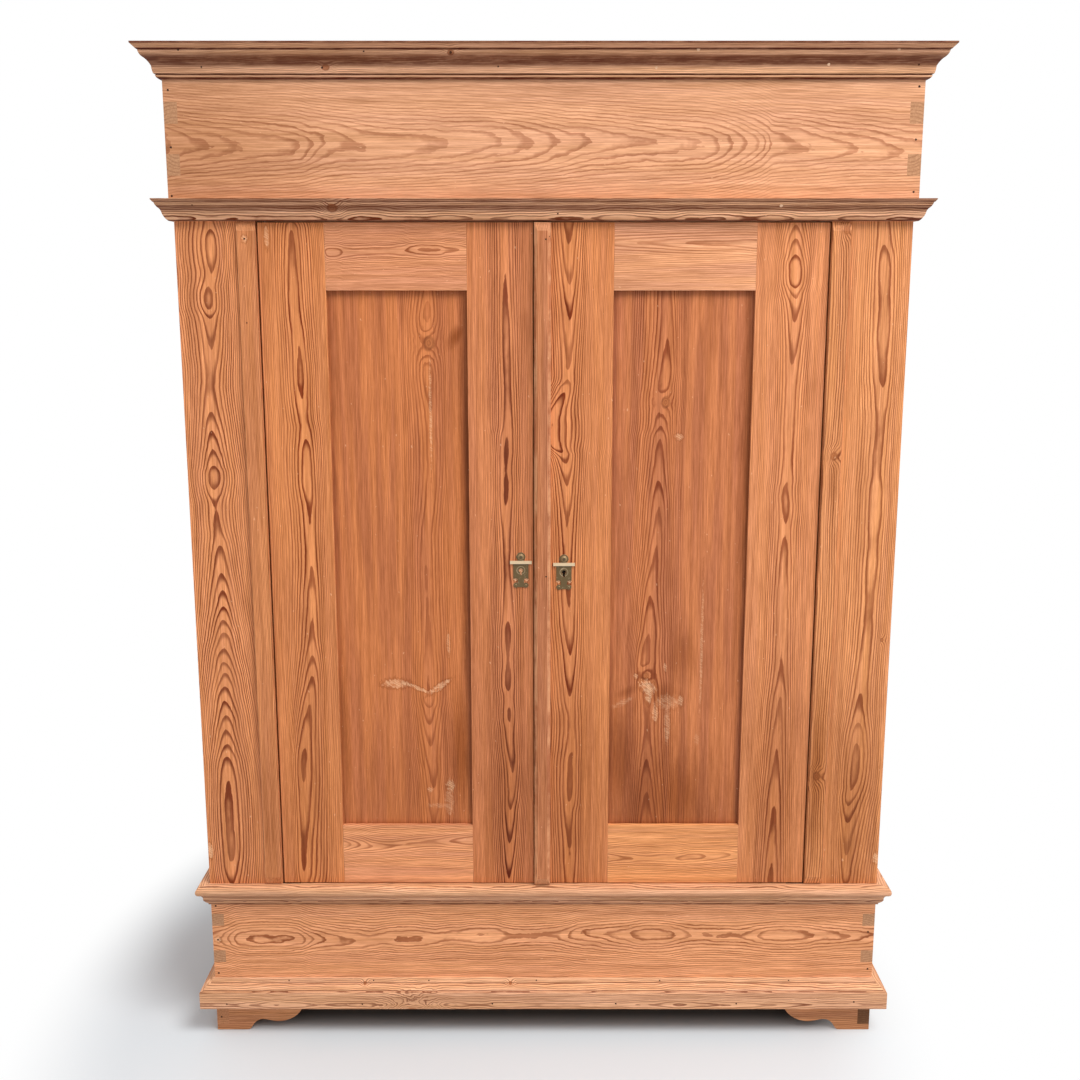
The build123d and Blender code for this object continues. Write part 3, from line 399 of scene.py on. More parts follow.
late = fade(part_of_year, entry["Late Start"], FULL_DARK) * fall(part_of_year, SHARP_STOP, 1.0)
faint_spot = combine(entry["Along"] * 6.0 + seed_shift, count * 0.6, entry["Across"] * 12.0)
faint = fade(noise(faint_spot, 1.0, 1.0), 0.32, 0.58, 0.65, 1.0)
figure_reach = wandering(5.0, 20.0, 1.0) + heart_share
line_strength = fade(figure_reach, 0.75, 1.3, 1.0, entry["Side Strength"])
late = late * (year_noise * YEAR_SPREAD + LEAST_YEAR)
feed(leave["Latewood"], late * faint * line_strength)
print("group", growth_rings.name)

# %% [markdown]
# ## Knots and scuffs
#
# A knot is the foot of a branch. The rings of the trunk bow out around it, and inside it
# are its own small rings and a dark, broken rim. A scuff is a place where the surface was
# rubbed pale, with ragged edges, fine scratches across it and a thin dark rim. Set to be
# soft, the same group makes a stain. All are placed one by one, so each is a group that
# knows its own middle.

# %% Knots
KNOT_STRETCH, KNOT_REACH = 1.3, 2.3
pine_knot, entry, leave = new_group(
    "pine_knot",
    {"Along": 0.0, "Across": 0.0, "Middle Along": 0.0, "Middle Across": 0.0, "Radius": 0.006,
     "Strength": 1.6},
    ("Bow", "Core", "Lines"),
)
knot_u = (entry["Along"] - entry["Middle Along"]) / KNOT_STRETCH
knot_spot = combine(knot_u, entry["Across"] - entry["Middle Across"])
knot_shape = noise(knot_spot, 70.0, 2.0)
knot_reach = vector_calc("LENGTH", knot_spot) / entry["Radius"] * (knot_shape * 0.6 + 0.7)
feed(leave["Bow"], bell(knot_reach / KNOT_REACH) * entry["Strength"])
feed(leave["Core"], fall(knot_reach, 0.85, 1.25))
knot_rim = fade(knot_reach, 0.6, 0.95) * fade(knot_shape, 0.35, 0.6, 0.2, 1.0)
knot_rings = fade(calc("FRACT", knot_reach * 2.6), 0.3, 0.9)
feed(leave["Lines"], most(knot_rim, knot_rings * 0.6))
print("group", pine_knot.name)

# %% Scuffs
scuff, entry, leave = new_group(
    "scuff",
    {"Along": 0.0, "Across": 0.0, "Middle Along": 0.0, "Middle Across": 0.0, "Half Along": 0.01,
     "Half Across": 0.03, "Slope": 0.0, "Soft": 0.0, "Strength": 1.0},
    ("Mask", "Rim"),
)
scuff_v = entry["Across"] - entry["Middle Across"]
scuff_u = entry["Along"] - entry["Middle Along"] - scuff_v * entry["Slope"]
scuff_shares = combine(scuff_u / entry["Half Along"], scuff_v / entry["Half Across"])
scuff_noise = noise(combine(scuff_u * 90.0, scuff_v * 210.0), 1.0, 4.0, 0.65)
scuff_broken = (scuff_noise - 0.5) * (entry["Soft"] * -1.7 + 2.1)
scuff_edge = scuff_broken + 1.05 - vector_calc("LENGTH", scuff_shares)
scratch_spot = combine(scuff_u * 30.0 + scuff_v * 80.0, scuff_u * 430.0 + scuff_v * 200.0)
scratches = fade(noise(scratch_spot, 1.0, 3.0, 0.65), 0.4, 0.6, 0.15, 1.0)
scuff_mask = fade(scuff_edge, 0.0, entry["Soft"] * 0.5 + 0.5) * most(scratches, entry["Soft"])
feed(leave["Mask"], scuff_mask * entry["Strength"])
scuff_rim = fade(scuff_edge, -0.3, -0.05) * fall(scuff_edge, 0.0, 0.3)
feed(leave["Rim"], scuff_rim * entry["Strength"])
print("group", scuff.name)

# %% [markdown]
# ## The skin of old pine
#
# Stripped and waxed pine is orange rather than yellow. Its spring wood is peach to
# orange, its summer wood red-brown. Fine fibres run along the grain, broad patches are a
# little redder or paler, and ends of boards are grey and rough. The stripping leaves the
# hard summer lines a hair proud, so the height follows the rings too. Sawn corners of
# old furniture are rubbed pale and round. The boards get that round from a small bevel,
# and the wear group finds it by the direction in which the surface faces.

# %% Colour of the timber
SKIN_SPREAD = 3.17
# Stains tint the timber brown; the grey tint darkens panel borders with grime and painted shade.
STAIN_TINT, GRIME_TINT = (0.57, 0.46, 0.32, 1), (0.50, 0.48, 0.52, 1)
pine_skin, entry, leave = new_group(
    "pine_skin",
    {"Along": 0.0, "Across": 0.0, "Depth": 0.0, "Seed": 0.0, "Latewood": 0.0, "Contrast": 1.0,
     "Spring": shade(0.9, 0.62, 0.44), "Summer": shade(0.6, 0.31, 0.15), "Patches": 0.5,
     "Ends": 0.0, "End Tint": WHITE, "Knots": 0.0, "Knot Lines": 0.0, "Scuffs": 0.0,
     "Stains": 0.0, "Wear": 0.0, "Grime": 0.0, "Dirt": 0.0},
    ("Color", "Roughness", "Height"),
)
skin_seed = entry["Seed"] * SKIN_SPREAD


def grain_noise(fine_along, fine_across, detail, roughness):
    """Noise stretched along the grain, shifted by the seed."""
    spot = combine(entry["Along"] * fine_along + skin_seed, entry["Across"] * fine_across,
                   entry["Depth"] * fine_across)
    return noise(spot, 1.0, detail, roughness)


def tinted(timber, share, mask, low, high, dark, light):
    """The timber, multiplied by a tint that goes from dark to light with the mask."""
    tint = blend_colours(fade(mask, low, high), (*dark, 1), (*light, 1))
    return blend_colours(share, timber, tint, "MULTIPLY")


def covered(timber, mask, share, colour):
    """The timber with another colour over it where the mask is one."""
    return blend_colours(mask * share, timber, colour)


fibres = grain_noise(16.0, 480.0, 3.0, 0.7)
streaks = grain_noise(3.0, 130.0, 3.0, 0.6)
bands = grain_noise(2.2, 40.0, 2.0, 0.5)
timber = blend_colours(entry["Latewood"] * entry["Contrast"], entry["Spring"], entry["Summer"])
timber = tinted(timber, entry["Patches"], bands, 0.36, 0.64, (0.84, 0.80, 0.84), (1.05, 1.04, 0.96))
timber = tinted(timber, 1.0, streaks, 0.3, 0.7, (0.82, 0.77, 0.68), (1.07, 1.07, 1.06))
timber = tinted(timber, 1.0, fibres, 0.3, 0.7, (0.76, 0.70, 0.62), (1.12, 1.12, 1.10))
knot_colour = blend_colours(entry["Knot Lines"], shade(0.69, 0.41, 0.24), shade(0.42, 0.20, 0.10))
timber = covered(timber, entry["Knots"], 0.8, knot_colour)
timber = blend_colours(entry["Stains"], timber, STAIN_TINT, "MULTIPLY")
flecks = fade(grain_noise(90.0, 170.0, 1.0, 0.5), 0.75, 0.80)
timber = covered(timber, flecks, 0.4, shade(0.94, 0.74, 0.58))
timber = covered(timber, entry["Scuffs"], 0.8, shade(0.94, 0.76, 0.60))
timber = covered(timber, entry["Wear"], 0.45, shade(0.93, 0.70, 0.52))
# Grime and painted shade along the panel borders, then dirt and painted shade in the hollows of the
# mouldings.
timber = blend_colours(entry["Grime"], timber, GRIME_TINT, "MULTIPLY")
timber = blend_colours(entry["Dirt"], timber, shade(0.34, 0.12, 0.04))
end_pores = fade(grain_noise(200.0, 300.0, 3.0, 0.6), 0.25, 0.75)
end_colour = blend_colours(end_pores, shade(0.66, 0.48, 0.35), shade(0.75, 0.56, 0.42))
end_colour = covered(end_colour, entry["Latewood"], 0.4, shade(0.48, 0.30, 0.20))
end_colour = blend_colours(1.0, end_colour, entry["End Tint"], "MULTIPLY")
feed(leave["Color"], blend_colours(entry["Ends"], timber, end_colour))
skin_rough = fibres * 0.12 + 0.54 + entry["Latewood"] * -0.08
feed(leave["Roughness"], entry["Ends"] * 0.2 + skin_rough)
skin_height = fibres * 0.35 + entry["Latewood"] * 0.5
feed(leave["Height"], entry["Scuffs"] * -0.4 + skin_height)
print("group", pine_skin.name)

# %% Rubbed corners and board ends
corner_wear, entry, leave = new_group(
    "corner_wear", {"Point": (0, 0, 0), "Facing": (0, 0, 1), "Grain": (0, 0, 1)}, ("Wear", "Ends")
)
worn = fade(noise(entry["Point"], 22.0, 4.0, 0.6), 0.35, 0.65)
feed(leave["Wear"], fall(squareness(entry["Facing"]), 0.9, 0.985) * worn)
along_grain = vector_calc("DOT_PRODUCT", entry["Facing"], entry["Grain"])
feed(leave["Ends"], fade(calc("ABSOLUTE", along_grain), 0.7, 0.95))
print("group", corner_wear.name)

# %% [markdown]
# ## One board, one material
#
# Every board was cut from another place of the tree, so every node gets a material of
# its own from the same groups. Its recipe names the direction of the grain, the face
# that shows, the two colours and, for the boards at the front, the heart: a list of
# places along the grain, with where the middle of the pattern lies across the board and
# how many rings of taper it has there. Arches stand where the taper passes a whole
# number, and ovals where it turns back. Two curve nodes hold that list. Scuffs and stains
# lie on the face only, so they fade out a few millimetres into the board.


# %% Curves along a board
def curve_value(share, places, values):
    """A curve node that gives a value for each share of the way along the board."""
    low = min(values)
    span = max(max(values) - low, 1e-6)
    result = add_node("FloatCurve", {"Value": share})
    mapping = result.socket.node.mapping
    curve = mapping.curves[0]
    points = sorted((place, (value - low) / span) for place, value in zip(places, values))
    curve.points[0].location = points[0]
    curve.points[1].location = points[-1]
    for place, value in points[1:-1]:
        curve.points.new(place, value)
    for item in curve.points:
        item.handle_type = "AUTO_CLAMPED"
    mapping.update()
    return result * span + low


def share_between(value, first, last):
    """How far a value is on its way from first to last, held at nought and one."""
    return add_node("MapRange", {"Value": value, "From Min": first, "From Max": last})


def heart_line(along, heart):
    """Where the middle of the pattern lies across the board, and its taper in rings."""
    places, acrosses, tapers = zip(*heart)
    first, last = min(places), max(places)
    share = share_between(along, first * MM, last * MM)
    shares = [(place - first) / (last - first) for place in places]
    middle = curve_value(share, shares, [across * MM for across in acrosses])
    return middle, curve_value(share, shares, tapers)


print("curves ready")


# %% Marks, grime and dirt
def marks(tree, along, across, rows, soft):
    """Scuffs or stains as one mask, and their rims as another.

    A row has the middle along and across, the half sizes, the strength and maybe a slope."""
    mask, rim = 0.0, 0.0
    for mark_along, mark_across, half_along, half_across, strength, *slope in rows:
        mark = place_group(tree, scuff, Along=along, Across=across, Middle_Along=mark_along * MM,
                           Middle_Across=mark_across * MM, Half_Along=half_along * MM,
                           Half_Across=half_across * MM, Slope=slope[0] if slope else 0.0,
                           Soft=soft, Strength=strength)
        mask, rim = most(mark["Mask"], mask), most(mark["Rim"], rim)
    return mask, rim


def border_grime(point, along, across, grime):
    """Grime and painted shade that gather along the borders of a panel: left, right, low, high and reach."""
    left, right, low, high, reach = (value * MM for value in grime)
    edge = least(least(across - left, right - across), least(high - along, along - low))
    return fade(edge / (noise(point, 9.0, 3.0) * (2 * reach)), 0.0, 1.0, 0.6, 0.0)


def moulding_dirt(point, facing, start, rows):
    """Dirt and painted shade on a moulding, less on its lit top: rows of height above its lower edge and
    strength.
    """
    x, y, height = separate(point)
    reach = max(above for above, _ in rows)
    share = share_between(height, start * MM, (start + reach) * MM)
    dirt = curve_value(share, [above / reach for above, _ in rows], [value for _, value in rows])
    smear = noise(combine((x + y) * 22.0, 0.0, height * 160.0), 1.0, 4.0, 0.65)
    # Tops, where the light falls, get less painted shade.
    on_top = fade(separate(facing)[2], 0.7, 0.95, 1.0, 0.2)
    return dirt * on_top * fade(smear, 0.3, 0.62, 0.72, 1.0)


print("marks ready")

# %% The recipe for a board
UP, LEVEL, DEEP = (0, 0, 1), (1, 0, 0), (0, 1, 0)
FRONT, CORNICE, PANEL = -235.25, -243.25, -225.25
TIMBER_BUMP, TIMBER_BUMP_SHARE = 0.35 * MM, 0.5
TIMBER_GLOSS = 0.14
SWAY_REACH = 42.0 * MM
MARK_DEPTH = 2.0 * MM
RIM_STAIN = 0.7
PLANK_HEART, NEXT_PLANK_SEED = 0.45, 2.7


def pine(name, spring, summer, grain=UP, inward=DEEP, face=FRONT, heart=None, middle=0.0, ring=3.0,
         heart_depth=20.0, figure=1000.0, side_strength=0.25, drift=0.0, waver=0.9, waver_along=9.0,
         jagged=0.25, late_start=0.43, contrast=1.0, patches=0.7, mirror=False, planks=None, knots=(),
         scuffs=(), stains=(), grime=None, dirt=None, ends=(WHITE, WHITE), moulded=False, seed=0.0):
    """A material for one node: its boards share the colours and the direction of the grain."""
    finish, tree, point, facing = new_finish(name)
    side = tuple(abs(value) for value in Vector(inward).cross(Vector(grain)))
    spot = place_group(tree, board_space, Point=point, Grain=grain, Side=side, Inward=inward,
                       Face=face * MM, Mirror=float(mirror), Seed=seed)
    along, across, depth, board_seed = spot.values()
    true_across = vector_calc("DOT_PRODUCT", point, side)
    if planks:
        start, pitch = planks[0] * MM, planks[1] * MM
        steps = (across - start) / pitch
        board_seed = calc("FLOOR", steps) * NEXT_PLANK_SEED + board_seed
        across = (calc("FRACT", steps) - PLANK_HEART) * pitch
    taper = 0.0
    across_heart = across - middle * MM
    if heart:
        heart_middle, taper = heart_line(along, heart)
        mean = sum(place for _, place, _ in heart) / len(heart) * MM
        nearness = bell((across - heart_middle) / SWAY_REACH)
        across_heart = across - mean - (heart_middle - mean) * nearness
    bow, core, lines = 0.0, 0.0, 1.0
    for knot_along, knot_across, radius, strength in knots:
        knot = place_group(tree, pine_knot, Along=along, Across=true_across, Radius=radius * MM,
                           Middle_Along=knot_along * MM, Middle_Across=knot_across * MM,
                           Strength=strength)
        bow, core = knot["Bow"] + bow, most(knot["Core"], core)
        lines = least(knot["Lines"], lines)
    rings = place_group(tree, growth_rings, Along=along, Across=across_heart, Depth=depth,
                        Taper=taper, Ring_Width=ring * MM, Heart_Depth=heart_depth * MM,
                        Drift=drift, Waver=waver, Waver_Along=waver_along, Jagged=jagged,
                        Late_Start=late_start, Figure_Half=figure * MM,
                        Side_Strength=side_strength, Bow=bow, Seed=board_seed)
    pale, pale_rim = marks(tree, along, true_across, scuffs, 0.0)
    stained, _ = marks(tree, along, true_across, stains, 1.0)
    if scuffs or stains:
        in_front = fall(depth, MARK_DEPTH, 2 * MARK_DEPTH)
        stained = most(in_front * stained, in_front * (pale_rim * RIM_STAIN))
        pale = in_front * pale
    corner = place_group(tree, corner_wear, Point=point, Facing=facing, Grain=grain)
    end_tint = blend_colours(fade(separate(point)[0], -MM, MM), *ends)
    skin = place_group(
        tree, pine_skin, Along=along, Across=across, Depth=depth, Seed=board_seed,
        Latewood=rings["Latewood"], Contrast=contrast, Spring=shade(*spring), Summer=shade(*summer),
        Patches=patches, Ends=corner["Ends"], End_Tint=end_tint, Knots=core, Knot_Lines=lines,
        Scuffs=pale, Stains=stained, Wear=0.0 if moulded else corner["Wear"],
        Grime=border_grime(point, along, across, grime) if grime else 0.0,
        Dirt=moulding_dirt(point, facing, *dirt) if dirt else 0.0,
    )
    close_finish(tree, skin, TIMBER_BUMP_SHARE, TIMBER_BUMP, TIMBER_GLOSS)
    return finish


print("recipe ready")

# %% Dressing a node
WELD_REACH = 0.005 * MM
SHARPEST_ROUND = math.radians(35)
dressed = []


def dress(node, finish, corner=0.7):
    """Gives a node its material and rounds its corners a little, in millimetres."""
    piece = nodes[node]
    if not piece.material_slots:
        piece.data.materials.append(finish)
    for slot in piece.material_slots:
        slot.material = finish
    weld = piece.modifiers.new("one_skin", "WELD")
    weld.merge_threshold = WELD_REACH
    soften = piece.modifiers.new("worn_corners", "BEVEL")
    soften.width = corner * MM
    soften.segments = 2
    soften.limit_method = "ANGLE"
    soften.angle_limit = SHARPEST_ROUND
    soften.use_clamp_overlap = True
    soften.harden_normals = True
    dressed.append(node)


def board(node, spring, summer, corner=0.7, **recipe):
    """Dresses a node in pine of its own, with the colours of its spring and summer wood."""
    dress(node, pine(node, spring, summer, **recipe), corner)


print("dressing ready")

# %% [markdown]
# ## The two fixed stiles
#
# At each side of the doors stands a fixed board. The left one has the boldest figure of
# the whole front: about sixteen arches that climb its lower half, a long oval near its
# foot and a round eye above. The right one is calmer, with an oval low down.

# %% Fixed stiles
STILE = {"side_strength": 0.5, "patches": 0.5}
left_stile_heart = [
    (1593, -600, 21.3), (1544, -597, 20.4), (1491, -602, 21.0), (1459, -607, 20.6), (1420, -605, 21.8),
    (1362, -606, 22.8), (1312, -609, 23.4), (1277, -611, 23.0), (1231, -611, 22.0), (1187, -611, 21.0),
    (1153, -611, 20.0), (1132, -611, 19.4), (1108, -612, 19.9), (1070, -612, 20.9), (1032, -610, 20.7),
    (1004, -608, 20.0), (959, -608, 19.0), (921, -608, 18.0), (884, -608, 17.0), (856, -609, 16.0),
    (831, -608, 15.0), (805, -610, 14.0), (779, -611, 13.0), (753, -610, 12.0), (727, -611, 11.0),
    (699, -613, 10.0), (669, -612, 9.0), (635, -614, 8.0), (606, -614, 7.0), (551, -614, 5.1),
    (495, -615, 4.5), (432, -616, 4.4), (390, -616, 4.6), (356, -618, 5.1), (320, -619, 6.0),
]
right_stile_heart = [
    (1593, 608, 5.4), (1556, 612, 5.0), (1532, 614, 4.55), (1509, 615, 4.35), (1456, 617, 4.3),
    (1384, 619, 4.35), (1322, 620, 4.6), (1295, 620, 5.0), (1266, 621, 5.3), (1240, 621, 5.7),
    (1150, 620, 5.75), (1095, 620, 5.35), (897, 618, 5.6), (779, 613, 5.5), (711, 609, 5.0),
    (657, 607, 4.0), (618, 607, 3.0), (569, 606, 2.6), (520, 604, 3.0), (480, 599, 4.0),
    (439, 599, 5.0), (388, 599, 6.0), (320, 600, 7.0),
]
board("left_front_stile", (0.911, 0.614, 0.430), (0.450, 0.160, 0.040), heart=left_stile_heart,
      ring=3.1, heart_depth=33.0, figure=50.0, side_strength=0.55, patches=0.5,
      scuffs=[(388, -657, 16, 7, 0.9)], stains=[(480, -600, 330, 90, 0.25)], seed=1.0)
board("right_front_stile", (0.902, 0.621, 0.431), (0.500, 0.210, 0.070), heart=right_stile_heart,
      ring=2.9, heart_depth=30.0, figure=46.0, contrast=0.85, waver=1.2, knots=[(819, 645, 3, 1.6)],
      scuffs=[(373, 656, 12, 7, 0.8)], stains=[(460, 600, 360, 90, 0.65)], seed=2.0, **STILE)
print("fixed stiles dressed")

# %% [markdown]
# ## The battens
#
# The battens are plain strips with nearly straight grain. The heart of the tree lies well
# outside them, so their rings show as close lines. The right one is coarser, with three
# knots that push the lines aside, so its faces get a second material.

# %% Battens
OUTER_BATTEN = {"face": FRONT - 7.5, "patches": 0.5}
dress("outer_battens", pine(
    "left_batten", (0.872, 0.586, 0.404), (0.520, 0.230, 0.080), middle=-470.0, ring=2.6,
    drift=8.0, waver=2.0, jagged=0.35, contrast=0.7, scuffs=[(1563, -535, 7, 6, 0.7)],
    stains=[(480, -533, 250, 30, 0.45)], seed=3.0, **OUTER_BATTEN,
), corner=1.2)
right_batten = pine(
    "right_batten", (0.895, 0.615, 0.425), (0.480, 0.200, 0.060), middle=470.0, ring=4.2,
    drift=5.0, waver=1.5, jagged=0.3, contrast=0.85,
    knots=[(1172, 536, 6, 3.0), (547, 530, 7, 3.4), (1578, 541, 6, 2.6)],
    stains=[(1120, 538, 90, 10, 0.5), (540, 531, 260, 30, 0.9)], seed=3.6, **OUTER_BATTEN,
)
battens = nodes["outer_battens"].data
battens.materials.append(right_batten)
for face in battens.polygons:
    if face.center.x > 0:
        face.material_index = len(battens.materials) - 1
board("centre_batten", (0.800, 0.534, 0.389), (0.520, 0.240, 0.090), corner=1.2, face=FRONT - 15.0,
      middle=-60.0, ring=2.6, drift=6.0, waver=1.4, jagged=0.3, contrast=0.85,
      scuffs=[(940, 11.6, 620, 1.8, 0.55)], seed=4.0)
print("battens dressed")

# %% [markdown]
# ## The left door
#
# Its hinge stile has long, slim ovals, its lock stile a narrow heart with dark red
# streaks. The rails run across, are the palest boards of the front, and carry small eyes.
# The panel is a wide, quiet board, darker and redder than its frame, with a knot at the
# top and two pale marks below the middle.

# %% Left door stiles
left_hinge_heart = [
    (1593, -453, 8.7), (1577, -452, 8.0), (1491, -452, 7.3), (1377, -447, 7.0), (1328, -445, 6.8),
    (1277, -444, 7.0), (1238, -441, 7.3), (1214, -438, 7.0), (1146, -439, 6.4), (1065, -436, 6.9),
    (1013, -436, 7.1), (971, -436, 7.0), (897, -438, 6.4), (837, -441, 6.0), (783, -442, 5.0),
    (747, -444, 4.1), (683, -452, 3.0), (608, -462, 2.0), (563, -466, 1.75), (516, -467, 2.0),
    (432, -470, 2.6), (356, -473, 3.0), (320, -474, 3.7),
]
left_lock_heart = [
    (1593, -71, 6.2), (1402, -68, 5.7), (1232, -66, 5.3), (1212, -68, 5.0), (1182, -69, 4.82),
    (1152, -70, 4.93), (1115, -70, 4.68), (1090, -70, 4.72), (1062, -70, 5.0), (975, -69, 5.6),
    (897, -67, 5.3), (860, -67, 5.0), (819, -68, 4.6), (779, -68, 4.85), (739, -68, 4.55),
    (699, -66, 5.0), (673, -66, 4.8), (643, -65, 5.2), (598, -63, 5.5), (555, -61, 6.0),
    (470, -65, 7.0), (392, -66, 8.0), (337, -68, 9.0), (320, -68, 9.3),
]
board("left_door_hinge_stile", (0.878, 0.576, 0.380), (0.490, 0.190, 0.060), corner=1.0,
      heart=left_hinge_heart, ring=2.8, heart_depth=26.0, figure=32.0,
      scuffs=[(1566, -497, 19, 5, 0.6)], stains=[(480, -450, 330, 80, 0.3)], seed=5.0, **STILE)
board("left_door_lock_stile", (0.845, 0.547, 0.378), (0.400, 0.130, 0.040), corner=1.0,
      heart=left_lock_heart, ring=2.5, heart_depth=22.0, figure=30.0,
      scuffs=[(955, -42.6, 11, 5, 1.0), (937, -53, 4.5, 4.5, 1.0), (937, -32, 4.5, 4.5, 1.0)],
      stains=[(500, -80, 360, 70, 0.55)], seed=6.0, **STILE)
print("left door stiles dressed")

# %% Left door rails and panel
RAIL = {"grain": LEVEL, "figure": 50.0, "side_strength": 0.5}
DOOR_PANEL = {"face": PANEL, "figure": 46.0, "side_strength": 0.4, "patches": 0.95}
left_top_heart = [
    (-393, 1542, 1.7), (-382, 1540, 0.8), (-357, 1540, 1.9), (-303, 1542, 2.5), (-258, 1542, 2.0),
    (-236, 1544, 1.2), (-204, 1544, 0.6), (-174, 1544, 1.4), (-138, 1542, 2.2),
]
left_bottom_heart = [
    (-397, 401, -1.0), (-377, 401, 0.0), (-355, 400, 1.0), (-330, 397, 2.0), (-282, 401, 2.9),
    (-233, 407, 3.0), (-182, 410, 2.0), (-140, 411, 1.0),
]
left_panel_heart = [
    (1472, -210, 3.2), (1378, -213, 2.2), (1182, -206, 3.2), (973, -222, 3.0), (816, -221, 2.6),
    (726, -221, 2.0), (676, -220, 3.0), (635, -220, 4.0), (584, -219, 5.0), (512, -214, 6.0),
    (436, -216, 7.0),
]
board("left_door_top_rail", (0.911, 0.647, 0.495), (0.570, 0.270, 0.110), heart=left_top_heart,
      ring=2.3, heart_depth=14.0, waver=1.6, jagged=0.5, contrast=0.85, seed=7.0, **RAIL)
board("left_door_bottom_rail", (0.940, 0.667, 0.499), (0.560, 0.250, 0.090),
      heart=left_bottom_heart, ring=3.0, heart_depth=14.0, waver=1.3, contrast=0.75, seed=8.0, **RAIL)
board("left_door_panel", (0.809, 0.506, 0.331), (0.480, 0.190, 0.060), heart=left_panel_heart,
      ring=3.0, heart_depth=26.0, contrast=0.6, knots=[(1378, -210, 10, 2.6), (521, -182, 7, 1.5)],
      scuffs=[(729, -284, 10, 26, 0.8), (721, -245, 5, 26, 0.8, -0.42),
              (723, -200, 8, 22, 0.8, 0.65), (521, -182, 13, 10, 0.7), (488, -184, 30, 11, 0.35),
              (512, -222, 6, 7, 0.5), (1252, -209, 107, 3, 0.5), (808, -182, 24, 4, 0.4),
              (479, -207, 6, 22, 0.3)],
      stains=[(1391, -159, 26, 26, 1.0, 0.8), (1100, -146, 620, 18, 0.8), (640, -386, 260, 18, 0.5),
              (500, -260, 180, 160, 0.25), (590, -162, 190, 34, 0.9)],
      grime=(-393, -140, 438, 1474, 14), seed=9.0, **DOOR_PANEL)
print("left door dressed")

# %% [markdown]
# ## The right door
#
# This door locks. Its lock stile has arches that point down and an eye near the centre
# batten, its hinge stile a nest of ovals at the top and long flames below. The panel has
# one flame up its middle, a knot with an eye, and a bleached patch low down.

# %% Right door stiles
right_lock_heart = [
    (1593, 45, 2.3), (1551, 45, 3.0), (1484, 46, 4.0), (1424, 46, 5.0), (1335, 45, 6.0),
    (1322, 45, 6.1), (1300, 40, 5.4), (1272, 29, 4.6), (1250, 20, 4.25), (1224, 15, 4.1),
    (1196, 20, 4.35), (1180, 31, 4.95), (1164, 40, 5.9), (1117, 44, 7.0), (1036, 45, 8.0),
    (952, 46, 8.5), (860, 48, 9.0), (775, 51, 10.0), (705, 51, 11.0), (655, 55, 11.4), (622, 55, 11.2),
    (557, 52, 10.7), (495, 52, 11.0), (464, 50, 11.4), (390, 53, 11.8), (320, 53, 12.2),
]
right_hinge_heart = [
    (1593, 451, 4.4), (1582, 451, 4.0), (1558, 451, 3.0), (1531, 452, 2.0), (1522, 452, 1.5),
    (1504, 453, 1.3), (1488, 453, 1.5), (1479, 453, 2.0), (1462, 454, 3.0), (1429, 456, 4.0),
    (1343, 455, 5.0), (1275, 454, 5.5), (1201, 453, 5.6), (1127, 453, 5.15), (1106, 451, 5.0),
    (1084, 452, 4.85), (1059, 453, 5.0), (1032, 452, 5.2), (1004, 452, 5.0), (936, 452, 4.6),
    (848, 454, 4.3), (765, 455, 4.0), (691, 454, 3.0), (573, 452, 2.0), (489, 451, 1.0),
    (356, 451, 0.0), (320, 451, -0.3),
]
board("right_door_lock_stile", (0.869, 0.570, 0.380), (0.470, 0.180, 0.050), corner=1.0,
      heart=right_lock_heart, ring=2.7, heart_depth=28.0, figure=34.0,
      scuffs=[(933, 28, 4.5, 4.5, 1.0), (933, 49, 4.5, 4.5, 1.0)],
      stains=[(500, 60, 360, 80, 0.5)], seed=10.0, **STILE)
board("right_door_hinge_stile", (0.888, 0.598, 0.421), (0.490, 0.190, 0.050), corner=1.0,
      heart=right_hinge_heart, ring=2.7, heart_depth=28.0, figure=34.0, contrast=0.9,
      stains=[(500, 450, 380, 90, 0.65)], seed=11.0, **STILE)
print("right door stiles dressed")

# %% Right door rails and panel
right_top_heart = [
    (126, 1556, 3.3), (191, 1556, 2.7), (253, 1556, 2.0), (325, 1556, 1.5), (383, 1554, 1.2),
]
right_bottom_heart = [
    (128, 373, 1.0), (173, 372, 2.0), (201, 372, 2.5), (230, 373, 2.2), (252, 372, 2.0),
    (290, 375, 1.4), (325, 377, 2.0), (380, 380, 3.2),
]
right_panel_heart = [
    (1472, 224, 12.4), (1396, 226, 12.0), (1338, 226, 11.4), (1302, 223, 11.0), (1273, 222, 10.5),
    (1237, 219, 10.9), (1204, 216, 10.0), (1131, 215, 9.0), (1078, 215, 8.0), (982, 211, 7.0),
    (907, 204, 6.0), (840, 202, 5.0), (756, 195, 4.0), (716, 198, 3.6), (645, 201, 3.7),
    (569, 201, 3.0), (509, 202, 2.0), (449, 202, 1.0), (436, 202, 0.8),
]
board("right_door_top_rail", (0.916, 0.673, 0.530), (0.590, 0.300, 0.120), heart=right_top_heart,
      ring=3.2, heart_depth=12.0, waver=1.1, contrast=0.65, seed=12.0, **RAIL)
board("right_door_bottom_rail", (0.950, 0.673, 0.470), (0.570, 0.260, 0.090),
      heart=right_bottom_heart, ring=2.8, heart_depth=14.0, waver=2.0, jagged=0.4, contrast=0.75,
      seed=13.0, **RAIL)
